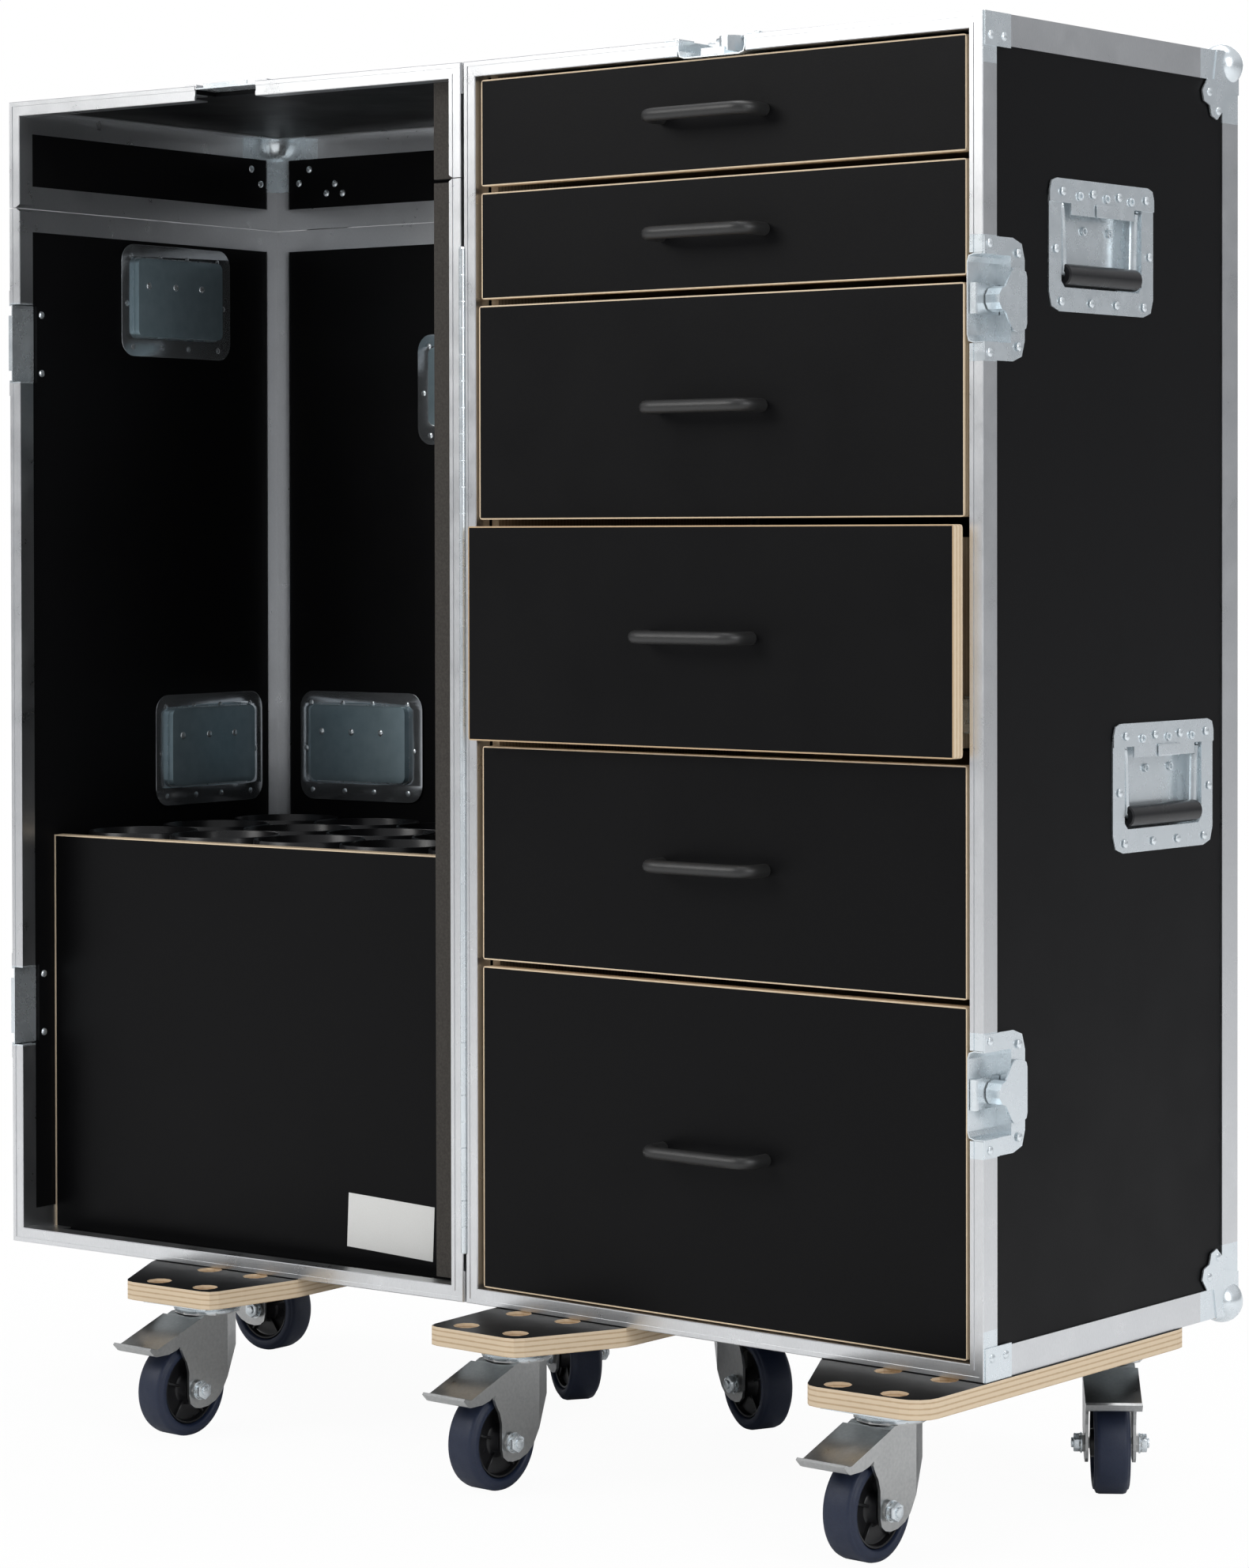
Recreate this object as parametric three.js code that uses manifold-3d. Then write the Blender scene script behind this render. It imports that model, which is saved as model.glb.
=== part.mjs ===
// Road case with drawers, standing open like a book on its castors.
// Millimetres, +Z up. The right half holds six drawers, the left half is an open compartment with a lid.
// While it is built, x = 0 is the hinge side of the right half, y = 0 its front rim and z = 0 its bottom.
import * as THREE from 'three';
import { mergeVertices } from 'three/addons/utils/BufferGeometryUtils.js';
import Module from 'manifold-3d';

const wasm = await Module();
wasm.setup();

// The case.
const halfWidth = 645;
const halfDepth = 457;
const halfHeight = 1280;
const hingeGap = 4;
const rimGap = 1;
const restShortOfFlat = THREE.MathUtils.degToRad(3.4);
const seatGap = 0.3;
const overrun = 2;
const fuse = 0.4;

// Plywood walls and aluminium edges.
const skin = 1.5;
const ply = 6.8;
const plyStart = skin + seatGap;
const wallInside = plyStart + ply;
const angleLeg = 30;
const innerLeg = 25;
const innerPostLeg = 20;
const closureFace = 16;
const closureFlange = 23;
const closureLeg = 21;
const closureNose = 3;
const closureEase = 0.8;
const grooveStart = 5;
const grooveWidth = 6;
const grooveDepth = 0.8;
const braceSize = 32;
const braceReach = 45;
const braceStart = 2;
const plateSheet = 1.2;

// Ball corners.
const ballRadius = 22;
const ballProud = 10;
const ballPlateReach = 70;
const ballPlateShares = [[0, 0], [0.6, 0], [0.68, 0.42], [0.86, 0.43], [1, 0.6], [0.95, 0.75], [0.8, 0.8],
  [0.75, 0.95], [0.6, 1], [0.43, 0.86], [0.42, 0.68], [0, 0.6]];
const ballSides = 8;
const ballRings = 5;

// Lid line of the left half.
const lidHeight = 118.5;
const lidLine = halfHeight - lidHeight;
const lidGap = 1;
const bandHeight = 25;
const bandSheet = 1.5;
const notchDepth = 6;
const notchHeight = 5;

// Drawers.
const frontThickness = 15;
const frontSetBack = 4;
const frontSideGap = 5;
const frontWidth = halfWidth - (closureFace + frontSideGap) * 2;
const frontCorner = 3;
// The five upper fronts have these heights, and the deep drawer at the bottom takes what they leave.
const drawerHeights = [109, 109, 219, 219, 219.5];
const drawerTopGap = 4;
const drawerBottomGap = 2;
const drawerGap = 7;
const drawerAjar = [0, 0, 4, 22, 0, 0];
const boxRearGap = 29.4;
const boxDepth = halfDepth - wallInside - frontSetBack - frontThickness - boxRearGap;
const boxWall = 9;
const boxFloor = 6;
const boxSideGap = 35;
const boxBelowFront = 12;
const boxUnderFront = 8;
const uprightThickness = 9.5;
const uprightOffset = 9.4;
const uprightStart = closureFlange;
const railHeight = 35;
const railDepth = 12;
const railSheet = 1.5;
const railPlay = 0.8;
const railShorter = 10;
const railLength = boxDepth - railShorter;
const railStart = 26;
const railAboveBox = 14;

// Pull handles.
const pullWidth = 142;
const pullReach = 39;
const pullBar = 11;
const pullHeight = 14;
const pullCorner = 15;
const pullInnerCorner = 7;
const pullFoot = 18;

// Recessed spring handles.
const dishWidth = 185;
const dishHeight = 127;
const dishCorner = 18;
const panWidth = 145;
const panHeight = 90;
const panRise = 3.5;
const panDepth = 16.5;
const panCorner = 7;
const coverDrop = 23;
const coverDip = 34;
const coverDipWidth = 112;
const innerFrameSheet = 1.2;
const bailWire = 8;
const bailWidth = 136;
const bailPivotRise = 36;
const bailPivotDepth = 5;
const bailGripRise = -28;
const gripRadius = 11;
const gripLength = 128;
const upperHandleDrop = 211;
const lowerHandleRise = 544;
const rearHandleInset = 141;
const rightUpperShare = 0.4464;
const leftUpperShare = 0.582;
const leftHandleSink = 2;
const leftHandleInset = 135;
const backHandleInset = 140;
const backHandleDrop = 315;
const rightHandlePlaces = [[rightUpperShare * halfDepth, halfHeight - upperHandleDrop],
  [halfDepth - rearHandleInset, lowerHandleRise]];
const leftHandlePlaces = [
  ['free', leftUpperShare * halfDepth, halfHeight - upperHandleDrop - leftHandleSink],
  ['free', halfDepth - leftHandleInset, lowerHandleRise - leftHandleSink],
  ['back', halfWidth - backHandleInset, lowerHandleRise - leftHandleSink],
  ['back', halfWidth / 2, halfHeight - backHandleDrop],
];

// Latches.
const latchDrop = 267;
const latchRise = 268;
const latchTopAside = 1.5;
const latchHeights = [halfHeight - latchDrop, latchRise];
const latchTopPlace = halfWidth / 2 + latchTopAside;
const latchPlateHalf = 58;
const latchPlateReach = 70;
const latchPlateCorner = 20;
const latchPlateStart = 1;
const latchStepAt = 25;
const latchPanHalf = 42;
const latchPanReach = 48;
const latchPanDepth = 18.6;
const latchPanCorner = 8;
const latchCutGap = 0.3;
const latchHubAt = 33;
const latchHubRadius = 12;
const wingRaise = 2;
const wingSheet = 1.8;
const wingReach = 35;
const wingHalf = 31;
const wingNeck = 13;
const hubClear = 1;
const hookWidth = 29;
const hookSheet = 3.5;
const hookStart = 2.5;
const hookFloorGap = 0.6;
const hookClaw = 3.5;
const hookSlotHalf = 7;
const hookTravel = 8;
const hubPinRadius = 4;

// Keepers.
const keeperSink = 3;
const keeperHeights = latchHeights.map((height) => height - keeperSink);
const keeperTopPlace = halfWidth / 2;
const keeperHalf = 43;
const keeperReach = 34;
const keeperDepth = 4;
const keeperPlateReach = 56;
const keeperLipHalf = 31;
const keeperLip = 1.6;
const keeperCutGap = 0.4;

// Piano hinge.
const hingeBottom = 51;
const hingeBelowLid = 71.5;
const hingeTop = lidLine - hingeBelowLid;
const knuckleRadius = 3.25;
const knucklePitch = 54.6;
const knuckleGap = 0.5;
const hingePinRadius = 1.5;
const hingeBoreRadius = 2;
const hingeLeaf = 24;
const hingeAxisX = -hingeGap / 2;
const hingeAxisY = -rimGap / 2;
const hingeRelief = 0.7;
const knuckleSides = 6;

// Castor boards.
const boardThickness = 19;
const boardCorner = 12;
const boltHead = 13;
const boltHeadHeight = 5;
const counterbore = 27;
const counterboreDepth = 9;
const boltSpanX = 65;
const boltSpanY = 80;
const boltSides = 10;
const barSides = 6;
const gripSides = 10;
const raceSides = 12;

// Board outlines and castor places as shares of the half's width and depth. The left half's run from its
// hinge side.
const rightBoardShares = [
  [0.062, 0.766], [0.062, 0], [0.0775, -0.25], [0.254, -0.25], [0.333, 0], [0.333, 0.2735],
  [0.614, 0.2735], [0.7085, 0], [0.806, -0.2385], [0.981, -0.2255], [1.0045, -0.1925], [1.0045, 0.766],
  [0.97, 0.814], [0.096, 0.814]];
const leftBoardShares = [[0.0465, 0.766], [0.0465, 0.2735], [0.3475, 0.2735], [0.3475, 0], [0.389, -0.243],
  [0.5735, -0.245], [0.668, 0], [0.668, 0.2735], [0.992, 0.2735], [0.992, 0.766], [0.958, 0.814],
  [0.081, 0.814]];
const rightCastors = [
  { name: 'front_left', placeShares: [0.1752, -0.1094], heading: -90, braked: true, nose: true },
  { name: 'front_right', placeShares: [0.8884, -0.1028], heading: -90, braked: true, nose: true },
  { name: 'rear_right', placeShares: [0.8992, 0.6893], heading: -54, braked: true, nose: false },
  { name: 'rear_left', placeShares: [0.1783, 0.6849], heading: -23.5, braked: false, nose: false },
];
const leftCastors = [
  { name: 'nose', placeShares: [0.4775, -0.1094], heading: -93.4, braked: true, nose: true },
  { name: 'near', placeShares: [0.1659, 0.6958], heading: -36.4, braked: false, nose: false },
  { name: 'far', placeShares: [0.8884, 0.6958], heading: -3.4, braked: false, nose: false },
];

// Castors.
const castorHeight = 140.5;
const wheelRadius = 50;
const wheelWidth = 36;
const hubWidth = 40;
const wheelTrail = 39;
const axleRadius = 6;
const axleHalf = 31.5;
const axlePlay = 0.4;
const castorPlate = 3;
const castorPlateX = 88;
const castorPlateY = 105;
const raceRadius = 35.5;
const raceGap = 0.5;
const forkTop = 14;
const forkSheet = 3;
const forkHalf = 25;
const forkRear = 30;
const nutRadius = 9.5;
const nutSides = 6;
const wheelSides = 16;
const nutSheet = 6;
const forkReach = 110;
const forkKnee = 42;
const forkEase = 6;
// The fork's side, as shares of the castor's height, from the rear round the axle to the front.
const forkLowerShares = [[0.0142, -0.6762], [0.0569, -0.7402], [0.2135, -0.7972], [0.3416, -0.7687],
  [0.3701, -0.7117], [0.3701, -0.4555]];
const brakedFrontShares = [[0.427, -0.3701], [0.4555, -0.2989]];
const plainFrontShares = [[0.242, -0.2135]];
const brakedNeckShare = 0.2278;
const plainNeckShare = 0.2135;
const hubBoss = 15;
const hubRim = 37;
const hubDish = 5;
const tyreRound = 4;
const pedalHalf = 27.6;
const pedalSheet = 2;
const pedalBack = 5;
const pedalRun = 60;
const pedalDrop = 24;
const pedalLip = 8;
const pedalWebShare = 0.6;
const pedalAt = [42, -20];
const pedalEase = 2;

// Rack in the left half.
const rackSetBack = 37.5;
const rackFront = closureLeg + rackSetBack;
const rackThickness = 15;
const rackBack = rackFront + rackThickness;
const rackPlay = 0.8;
const rackSidePlay = 1.4;
const rackTop = 454.6;
// Three rows of tubes, as wide as the room behind the panel lets them be. In a row they are glued side by side.
const rowNames = ['rear', 'middle', 'front'];
const tubeRoom = halfDepth - wallInside - seatGap - rackBack - rackPlay;
const rowPitch = (tubeRoom + seatGap) / rowNames.length;
const tubeRadius = (rowPitch - seatGap) / 2;
const tubePitch = tubeRadius * 2 - fuse;
const tubeColumns = Math.floor((halfWidth - wallInside * 2) / tubePitch);
const lastRow = halfDepth - wallInside - seatGap - tubeRadius;
const tubeWall = 3;
const tubeTop = 458;
const tubeSides = 12;
const battenRight = 52;
const battenBack = 30;
const battenEndGap = 10;

const darkLaminate = { color: 0x1b1b1d, roughness: 0.55, metalness: 0 };
const aluminium = { color: 0xd9dadb, roughness: 0.35, metalness: 0.9 };
const zinc = { color: 0xb9c2c6, roughness: 0.25, metalness: 0.95 };
const birch = { color: 0xe6cfae, roughness: 0.7, metalness: 0 };
const blueRubber = { color: 0x1d2740, roughness: 0.6, metalness: 0 };
const blackPlastic = { color: 0x141415, roughness: 0.45, metalness: 0 };

// A closed geometry becomes a solid that can be joined and cut.
const solidOf = (geometry) => {
  const bare = geometry.index ? geometry.toNonIndexed() : geometry.clone();
  Object.keys(bare.attributes).filter((key) => key !== 'position').forEach((key) => bare.deleteAttribute(key));
  const merged = mergeVertices(bare);
  return new wasm.Manifold(new wasm.Mesh({
    numProp: 3,
    vertProperties: new Float32Array(merged.attributes.position.array),
    triVerts: new Uint32Array(merged.index.array),
  }));
};

const geometryOf = (solid) => {
  const mesh = solid.getMesh();
  const positions = [];
  for (let i = 0; i < mesh.vertProperties.length; i += mesh.numProp) {
    positions.push(mesh.vertProperties[i], mesh.vertProperties[i + 1], mesh.vertProperties[i + 2]);
  }
  const geometry = new THREE.BufferGeometry();
  geometry.setAttribute('position', new THREE.Float32BufferAttribute(positions, 3));
  geometry.setIndex(Array.from(mesh.triVerts));
  const faceted = geometry.toNonIndexed();
  faceted.computeVertexNormals();
  return faceted;
};

const join = (...solids) => solids.flat().reduce((all, solid) => all.add(solid));
const cut = (solid, ...tools) => tools.flat().reduce((left, tool) => left.subtract(tool), solid);

const block = (x0, x1, y0, y1, z0, z1) => {
  const geometry = new THREE.BoxGeometry(x1 - x0, y1 - y0, z1 - z0);
  geometry.translate((x0 + x1) / 2, (y0 + y1) / 2, (z0 + z1) / 2);
  return solidOf(geometry);
};

// A closed outline through points, each corner rounded by its radius.
const outline = (points, radius = 0, holes = []) => {
  const shape = new THREE.Shape();
  const corners = points.map(([a, b]) => new THREE.Vector2(a, b));
  corners.forEach((corner, i) => {
    const before = corners[(i + corners.length - 1) % corners.length];
    const after = corners[(i + 1) % corners.length];
    const wanted = Array.isArray(radius) ? radius[i] : radius;
    const r = Math.min(wanted, corner.distanceTo(before) / 2, corner.distanceTo(after) / 2);
    const start = corner.clone().add(before.clone().sub(corner).setLength(r));
    const end = corner.clone().add(after.clone().sub(corner).setLength(r));
    if (i === 0) shape.moveTo(start.x, start.y);
    else shape.lineTo(start.x, start.y);
    if (r > 0) shape.quadraticCurveTo(corner.x, corner.y, end.x, end.y);
  });
  shape.closePath();
  holes.forEach((hole) => shape.holes.push(hole));
  return shape;
};

const rectangle = (a0, a1, b0, b1, radius = 0, holes = []) =>
  outline([[a0, b0], [a1, b0], [a1, b1], [a0, b1]], radius, holes);

const circle = (a, b, radius, sides) => new THREE.Shape(Array.from({ length: sides }, (_, i) => {
  const angle = (i / sides) * Math.PI * 2;
  return new THREE.Vector2(a + radius * Math.cos(angle), b + radius * Math.sin(angle));
}));

// Extrusions along each axis. The outline lies in (y, z), (x, z) or (x, y).
const extrude = (shape, from, to, steps, turn) => {
  const settings = { depth: to - from, bevelEnabled: false, curveSegments: steps };
  const geometry = new THREE.ExtrudeGeometry(shape, settings);
  geometry.translate(0, 0, from);
  geometry.applyMatrix4(turn);
  return solidOf(geometry);
};
const axisX = new THREE.Vector3(1, 0, 0);
const axisY = new THREE.Vector3(0, 1, 0);
const axisZ = new THREE.Vector3(0, 0, 1);
const turnX = new THREE.Matrix4().makeBasis(axisY, axisZ, axisX);
const turnY = new THREE.Matrix4().makeBasis(axisX, axisZ, axisY.clone().negate());
const turnZ = new THREE.Matrix4();
const extrudeX = (shape, x0, x1, steps = 2) => extrude(shape, x0, x1, steps, turnX);
const extrudeY = (shape, y0, y1, steps = 2) => extrude(shape, -y1, -y0, steps, turnY);
const extrudeZ = (shape, z0, z1, steps = 2) => extrude(shape, z0, z1, steps, turnZ);

// The same solid in another place, given by a matrix. A mirror image keeps its faces pointing out.
const placed = (solid, matrix) => {
  const geometry = geometryOf(solid);
  geometry.applyMatrix4(matrix);
  if (matrix.determinant() < 0) {
    const p = geometry.attributes.position;
    for (let i = 0; i < p.count; i += 3) {
      const [x, y, z] = [p.getX(i), p.getY(i), p.getZ(i)];
      p.setXYZ(i, p.getX(i + 1), p.getY(i + 1), p.getZ(i + 1));
      p.setXYZ(i + 1, x, y, z);
    }
  }
  return solidOf(geometry);
};

const basis = (a, b, c, x, y, z) => new THREE.Matrix4()
  .makeBasis(new THREE.Vector3(...a), new THREE.Vector3(...b), new THREE.Vector3(...c))
  .setPosition(x, y, z);

const addMesh = (parent, name, solid, finish) => {
  const mesh = new THREE.Mesh(geometryOf(solid), new THREE.MeshStandardMaterial(finish));
  mesh.name = name;
  parent.add(mesh);
  return mesh;
};

// Aluminium frame of one half: closure profile, edge angles, braces and ball corners.
const midWebStart = wallInside + seatGap;
const midWebEnd = midWebStart + skin;
const closureSection = [
  [0, closureEase], [closureEase, 0], [grooveStart, 0], [grooveStart, grooveDepth],
  [grooveStart + grooveWidth, grooveDepth], [grooveStart + grooveWidth, 0],
  [closureFace - closureEase, 0], [closureFace, closureEase], [closureFace, closureLeg],
  [closureFace - skin, closureLeg], [closureFace - skin, closureNose], [midWebEnd, closureNose],
  [midWebEnd, closureLeg], [midWebStart, closureLeg], [midWebStart, closureNose],
  [skin, closureNose], [skin, closureFlange], [0, closureFlange],
];

// One section, swept round a rectangle with mitred corners. Its points are (inward, back).
const ringSweep = (section, width, height) => {
  const corners = [[0, 0, 1, 1], [width, 0, -1, 1], [width, height, -1, -1], [0, height, 1, -1]];
  const points = corners.flatMap(([x, z, inX, inZ]) =>
    section.map(([inward, back]) => [x + inX * inward, back, z + inZ * inward]));
  const count = section.length;
  const index = [];
  for (let corner = 0; corner < corners.length; corner += 1) {
    const next = (corner + 1) % corners.length;
    for (let i = 0; i < count; i += 1) {
      const j = (i + 1) % count;
      const [a, b] = [corner * count + i, corner * count + j];
      const [c, d] = [next * count + i, next * count + j];
      index.push(a, c, b, b, c, d);
    }
  }
  const geometry = new THREE.BufferGeometry();
  geometry.setAttribute('position', new THREE.Float32BufferAttribute(points.flat(), 3));
  geometry.setIndex(index);
  return solidOf(geometry);
};

// Ball corner in its own corner of space: the case fills the side where x, y and z are positive.
const ballCorner = () => {
  const centre = ballRadius - ballProud;
  const ball = new THREE.SphereGeometry(ballRadius, ballSides, ballRings);
  ball.translate(centre, centre, centre);
  const inside = block(skin, ballPlateReach * 2, skin, ballPlateReach * 2, skin, ballPlateReach * 2);
  const plate = outline(ballPlateShares.map(([a, b]) => [a * ballPlateReach, b * ballPlateReach]));
  const plates = [extrudeX, extrudeY, extrudeZ].map((along) => along(plate, -plateSheet, fuse));
  return cut(join(solidOf(ball), plates), inside);
};

const halfFrame = () => {
  const ring = ringSweep(closureSection, halfWidth, halfHeight);
  const cage = cut(
    block(0, halfWidth, closureLeg, halfDepth, 0, halfHeight),
    block(skin, halfWidth - skin, 0, halfDepth - skin, skin, halfHeight - skin),
    block(-overrun, halfWidth + overrun, closureFlange, halfDepth - angleLeg, angleLeg, halfHeight - angleLeg),
    block(angleLeg, halfWidth - angleLeg, closureFlange, halfDepth - angleLeg, -overrun, halfHeight + overrun),
    block(angleLeg, halfWidth - angleLeg, halfDepth - angleLeg, halfDepth + overrun,
      angleLeg, halfHeight - angleLeg));
  const braces = [[0, braceSize], [halfHeight - braceSize, halfHeight]].flatMap(([z0, z1]) => [
    block(-plateSheet, fuse, braceStart, braceReach, z0, z1),
    block(halfWidth - fuse, halfWidth + plateSheet, braceStart, braceReach, z0, z1)]);
  const corner = ballCorner();
  const balls = [0, halfWidth].flatMap((x) => [0, halfHeight].map((z) => placed(corner,
    basis([x ? -1 : 1, 0, 0], [0, -1, 0], [0, 0, z ? -1 : 1], x, halfDepth, z))));
  return join(ring, cage, braces, balls);
};

const shellBox = () => cut(
  block(plyStart, halfWidth - plyStart, closureNose + seatGap, halfDepth - plyStart,
    plyStart, halfHeight - plyStart),
  block(wallInside, halfWidth - wallInside, 0, halfDepth - wallInside, wallInside, halfHeight - wallInside));

// Both profiles are rounded away behind the hinge, where its knuckles swing.
const hingeHollow = () => extrudeZ(circle(hingeAxisX, hingeAxisY, knuckleRadius + hingeRelief, barSides),
  hingeBottom - knuckleGap, hingeTop + knuckleGap);

// Places on the faces: each maps (along the face, up or back, outward) to the case.
const onSide = (y, z) => basis([0, 1, 0], [0, 0, 1], [1, 0, 0], halfWidth, y, z);
const onBack = (x, z) => basis([-1, 0, 0], [0, 0, 1], [0, 1, 0], x, halfDepth, z);
const latchOnSide = (z) => basis([0, 0, 1], [0, 1, 0], [1, 0, 0], halfWidth, 0, z);
const latchOnTop = (x) => basis([1, 0, 0], [0, 1, 0], [0, 0, 1], x, 0, halfHeight);

// Recessed spring handle: dish with stamped cover, pan and inner frame.
const dishHole = () => extrudeZ(
  rectangle(-panWidth / 2 - seatGap, panWidth / 2 + seatGap, panRise - panHeight / 2 - seatGap,
    panRise + panHeight / 2 + seatGap, panCorner + seatGap), -wallInside - overrun, overrun, 1);

const springDish = () => {
  const face = -plyStart + seatGap;
  const low = panRise - panHeight / 2;
  const high = panRise + panHeight / 2;
  const dishTop = dishHeight / 2;
  const dishShape = rectangle(-dishWidth / 2, dishWidth / 2, -dishTop, dishTop, dishCorner);
  const panShape = rectangle(-panWidth / 2, panWidth / 2, low, high, panCorner);
  const flange = extrudeZ(dishShape, face, face + plateSheet);
  const pan = extrudeZ(panShape, -panDepth - plateSheet, face + fuse, 1);
  const inside = extrudeZ(rectangle(-panWidth / 2 + plateSheet, panWidth / 2 - plateSheet, low + plateSheet,
    high - plateSheet, panCorner - plateSheet), -panDepth, face + plateSheet + overrun, 1);
  const coverBase = face + plateSheet;
  const dip = dishTop - coverDip;
  const band = dishTop - coverDrop;
  const coverShape = outline([[-dishWidth / 2, band], [-coverDipWidth / 2, band], [-coverDipWidth / 2, dip],
    [coverDipWidth / 2, dip], [coverDipWidth / 2, band], [dishWidth / 2, band], [dishWidth / 2, dishTop],
    [-dishWidth / 2, dishTop]], [0, 0, fuse, fuse, 0, 0, dishCorner, dishCorner]);
  const cover = extrudeZ(coverShape, coverBase - fuse, coverBase + plateSheet);
  const frameFace = -wallInside - seatGap;
  const frame = extrudeZ(rectangle(-dishWidth / 2, dishWidth / 2, -dishTop, dishTop, dishCorner,
    [rectangle(-panWidth / 2 + fuse, panWidth / 2 - fuse, low + fuse, high - fuse, panCorner)]),
  frameFace - innerFrameSheet, frameFace, 1);
  return join(cut(join(flange, pan), inside), cover, frame);
};

// The bail hangs in the pan from its bar under the cover. Its bar lies on x, at the origin.
const bail = () => {
  const wire = bailWire / 2;
  const half = bailWidth / 2;
  const drop = bailGripRise - bailPivotRise;
  const rodX = (b, radius, from, to, sides) => extrudeX(circle(b, 0, radius, sides), from, to);
  const leg = (a) => extrudeY(circle(a, 0, wire, barSides), drop, 0);
  return join(rodX(0, wire, -half, half, barSides), rodX(drop, wire, -half, half, barSides),
    leg(-half + wire), leg(half - wire), rodX(drop, gripRadius, -gripLength / 2, gripLength / 2, gripSides));
};

// Butterfly latch: dish with hub pin, hook and wing, in (along, back, outward).
const latchCut = () => block(-latchPanHalf - latchCutGap, latchPanHalf + latchCutGap, -overrun,
  latchPanReach + latchCutGap, -latchPanDepth - latchCutGap, overrun);

// A shallow or deep pan let into the closure profile and open to the front, with its flange round it.
const recessDish = (half, reach, depth, corner, plateReach) => {
  const face = -plyStart + seatGap;
  const stepStart = closureFlange + latchCutGap * 2;
  const side = half + latchPlateHalf - latchPanHalf;
  const front = block(-side, side, latchPlateStart, latchStepAt, -fuse, plateSheet);
  const step = block(-side, side, stepStart, latchStepAt, face, plateSheet);
  const rear = extrudeZ(rectangle(-side, side, stepStart, plateReach,
    [0, 0, latchPlateCorner, latchPlateCorner]), face, face + plateSheet);
  const pan = extrudeY(rectangle(-half, half, -depth, face + fuse, [corner, corner, 0, 0]), seatGap, reach);
  const walls = block(-half, half, latchPlateStart, latchStepAt, face, plateSheet);
  const rounding = Math.max(corner - plateSheet, 0);
  const inside = extrudeY(rectangle(-half + plateSheet, half - plateSheet, -depth + plateSheet,
    plateSheet + overrun, [rounding, rounding, 0, 0]), -overrun, reach - plateSheet);
  return cut(join(front, step, rear, pan, walls), inside);
};

const latchDish = () => join(
  recessDish(latchPanHalf, latchPanReach, latchPanDepth, latchPanCorner, latchPlateReach),
  extrudeZ(circle(0, latchHubAt, hubPinRadius, barSides), -latchPanDepth + plateSheet - fuse,
    hubFloor - seatGap));
const hookTop = -latchPanDepth + plateSheet + hookFloorGap + hookSheet;
const hubFloor = hookTop + hubClear + seatGap;

const latchHook = () => {
  const bottom = hookTop - hookSheet;
  const rearEnd = latchPanReach - plateSheet - hookStart / 2;
  const plate = block(-hookWidth / 2, hookWidth / 2, hookStart, rearEnd, bottom, hookTop);
  const claw = block(-hookWidth / 2, hookWidth / 2, hookStart, hookStart + hookClaw,
    hookTop - fuse, hookTop + hookClaw);
  const slot = block(-hookSlotHalf, hookSlotHalf, latchHubAt - hookSlotHalf, rearEnd + overrun,
    bottom - overrun, hookTop + overrun);
  return cut(join(plate, claw), slot);
};

const latchWing = () => {
  const top = wingRaise + wingSheet;
  const hub = extrudeZ(circle(0, 0, latchHubRadius, gripSides), hubFloor, top);
  const neckShare = 0.35;
  const tipShare = 0.9;
  const plate = extrudeZ(outline([[-wingNeck, 0], [wingNeck, 0], [wingHalf, wingReach * neckShare],
    [wingHalf * tipShare, wingReach], [-wingHalf * tipShare, wingReach], [-wingHalf, wingReach * neckShare]],
  [0, 0, wingNeck / 2, wingNeck / 2, wingNeck / 2, wingNeck / 2]), wingRaise, top);
  return join(hub, plate);
};

// Keeper: a shallow dish over a notch through profile and wall, with a lip for the hook.
const keeperCut = (gap) => block(-keeperHalf - gap, keeperHalf + gap, -overrun, keeperReach + gap,
  -closureFace - overrun, overrun);

const keeper = () => join(
  recessDish(keeperHalf, keeperReach, keeperDepth, 0, keeperPlateReach),
  block(-keeperLipHalf, keeperLipHalf, seatGap, seatGap + plateSheet,
    -keeperDepth + plateSheet - fuse, keeperLip));

// Piano hinge: leaves with alternating knuckles; the pin belongs to the right leaf.
const leafPlate = (side) => {
  const face = side > 0 ? 0 : -hingeGap;
  const x0 = side > 0 ? -plateSheet : face - fuse;
  const x1 = side > 0 ? fuse : face + plateSheet;
  return block(x0, x1, hingeAxisY, hingeLeaf, hingeBottom, hingeTop);
};
const knuckleCount = Math.floor((hingeTop - hingeBottom) / knucklePitch);
const knuckleSpan = (hingeTop - hingeBottom) / knuckleCount;

const hingeLeafSolid = (side) => {
  const circleAt = (radius) => circle(hingeAxisX, hingeAxisY, radius, knuckleSides);
  const barrel = extrudeZ(circleAt(knuckleRadius), hingeBottom, hingeTop);
  const clear = knuckleRadius + hingeRelief / 2;
  const gaps = [];
  for (let i = 0; i < knuckleCount; i += 1) {
    const mine = (i % 2 === 0) === (side > 0);
    if (mine) continue;
    const z0 = hingeBottom + i * knuckleSpan - (i === 0 ? overrun : knuckleGap / 2);
    const z1 = hingeBottom + (i + 1) * knuckleSpan + (i === knuckleCount - 1 ? overrun : knuckleGap / 2);
    gaps.push(block(hingeAxisX - clear, hingeAxisX + clear, hingeAxisY - clear, hingeAxisY + clear, z0, z1));
  }
  const knuckled = cut(join(leafPlate(side), barrel), gaps);
  if (side > 0) {
    return join(knuckled, extrudeZ(circleAt(hingePinRadius), hingeBottom, hingeTop));
  }
  return cut(knuckled, extrudeZ(circleAt(hingeBoreRadius), hingeBottom - overrun, hingeTop + overrun));
};

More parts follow.
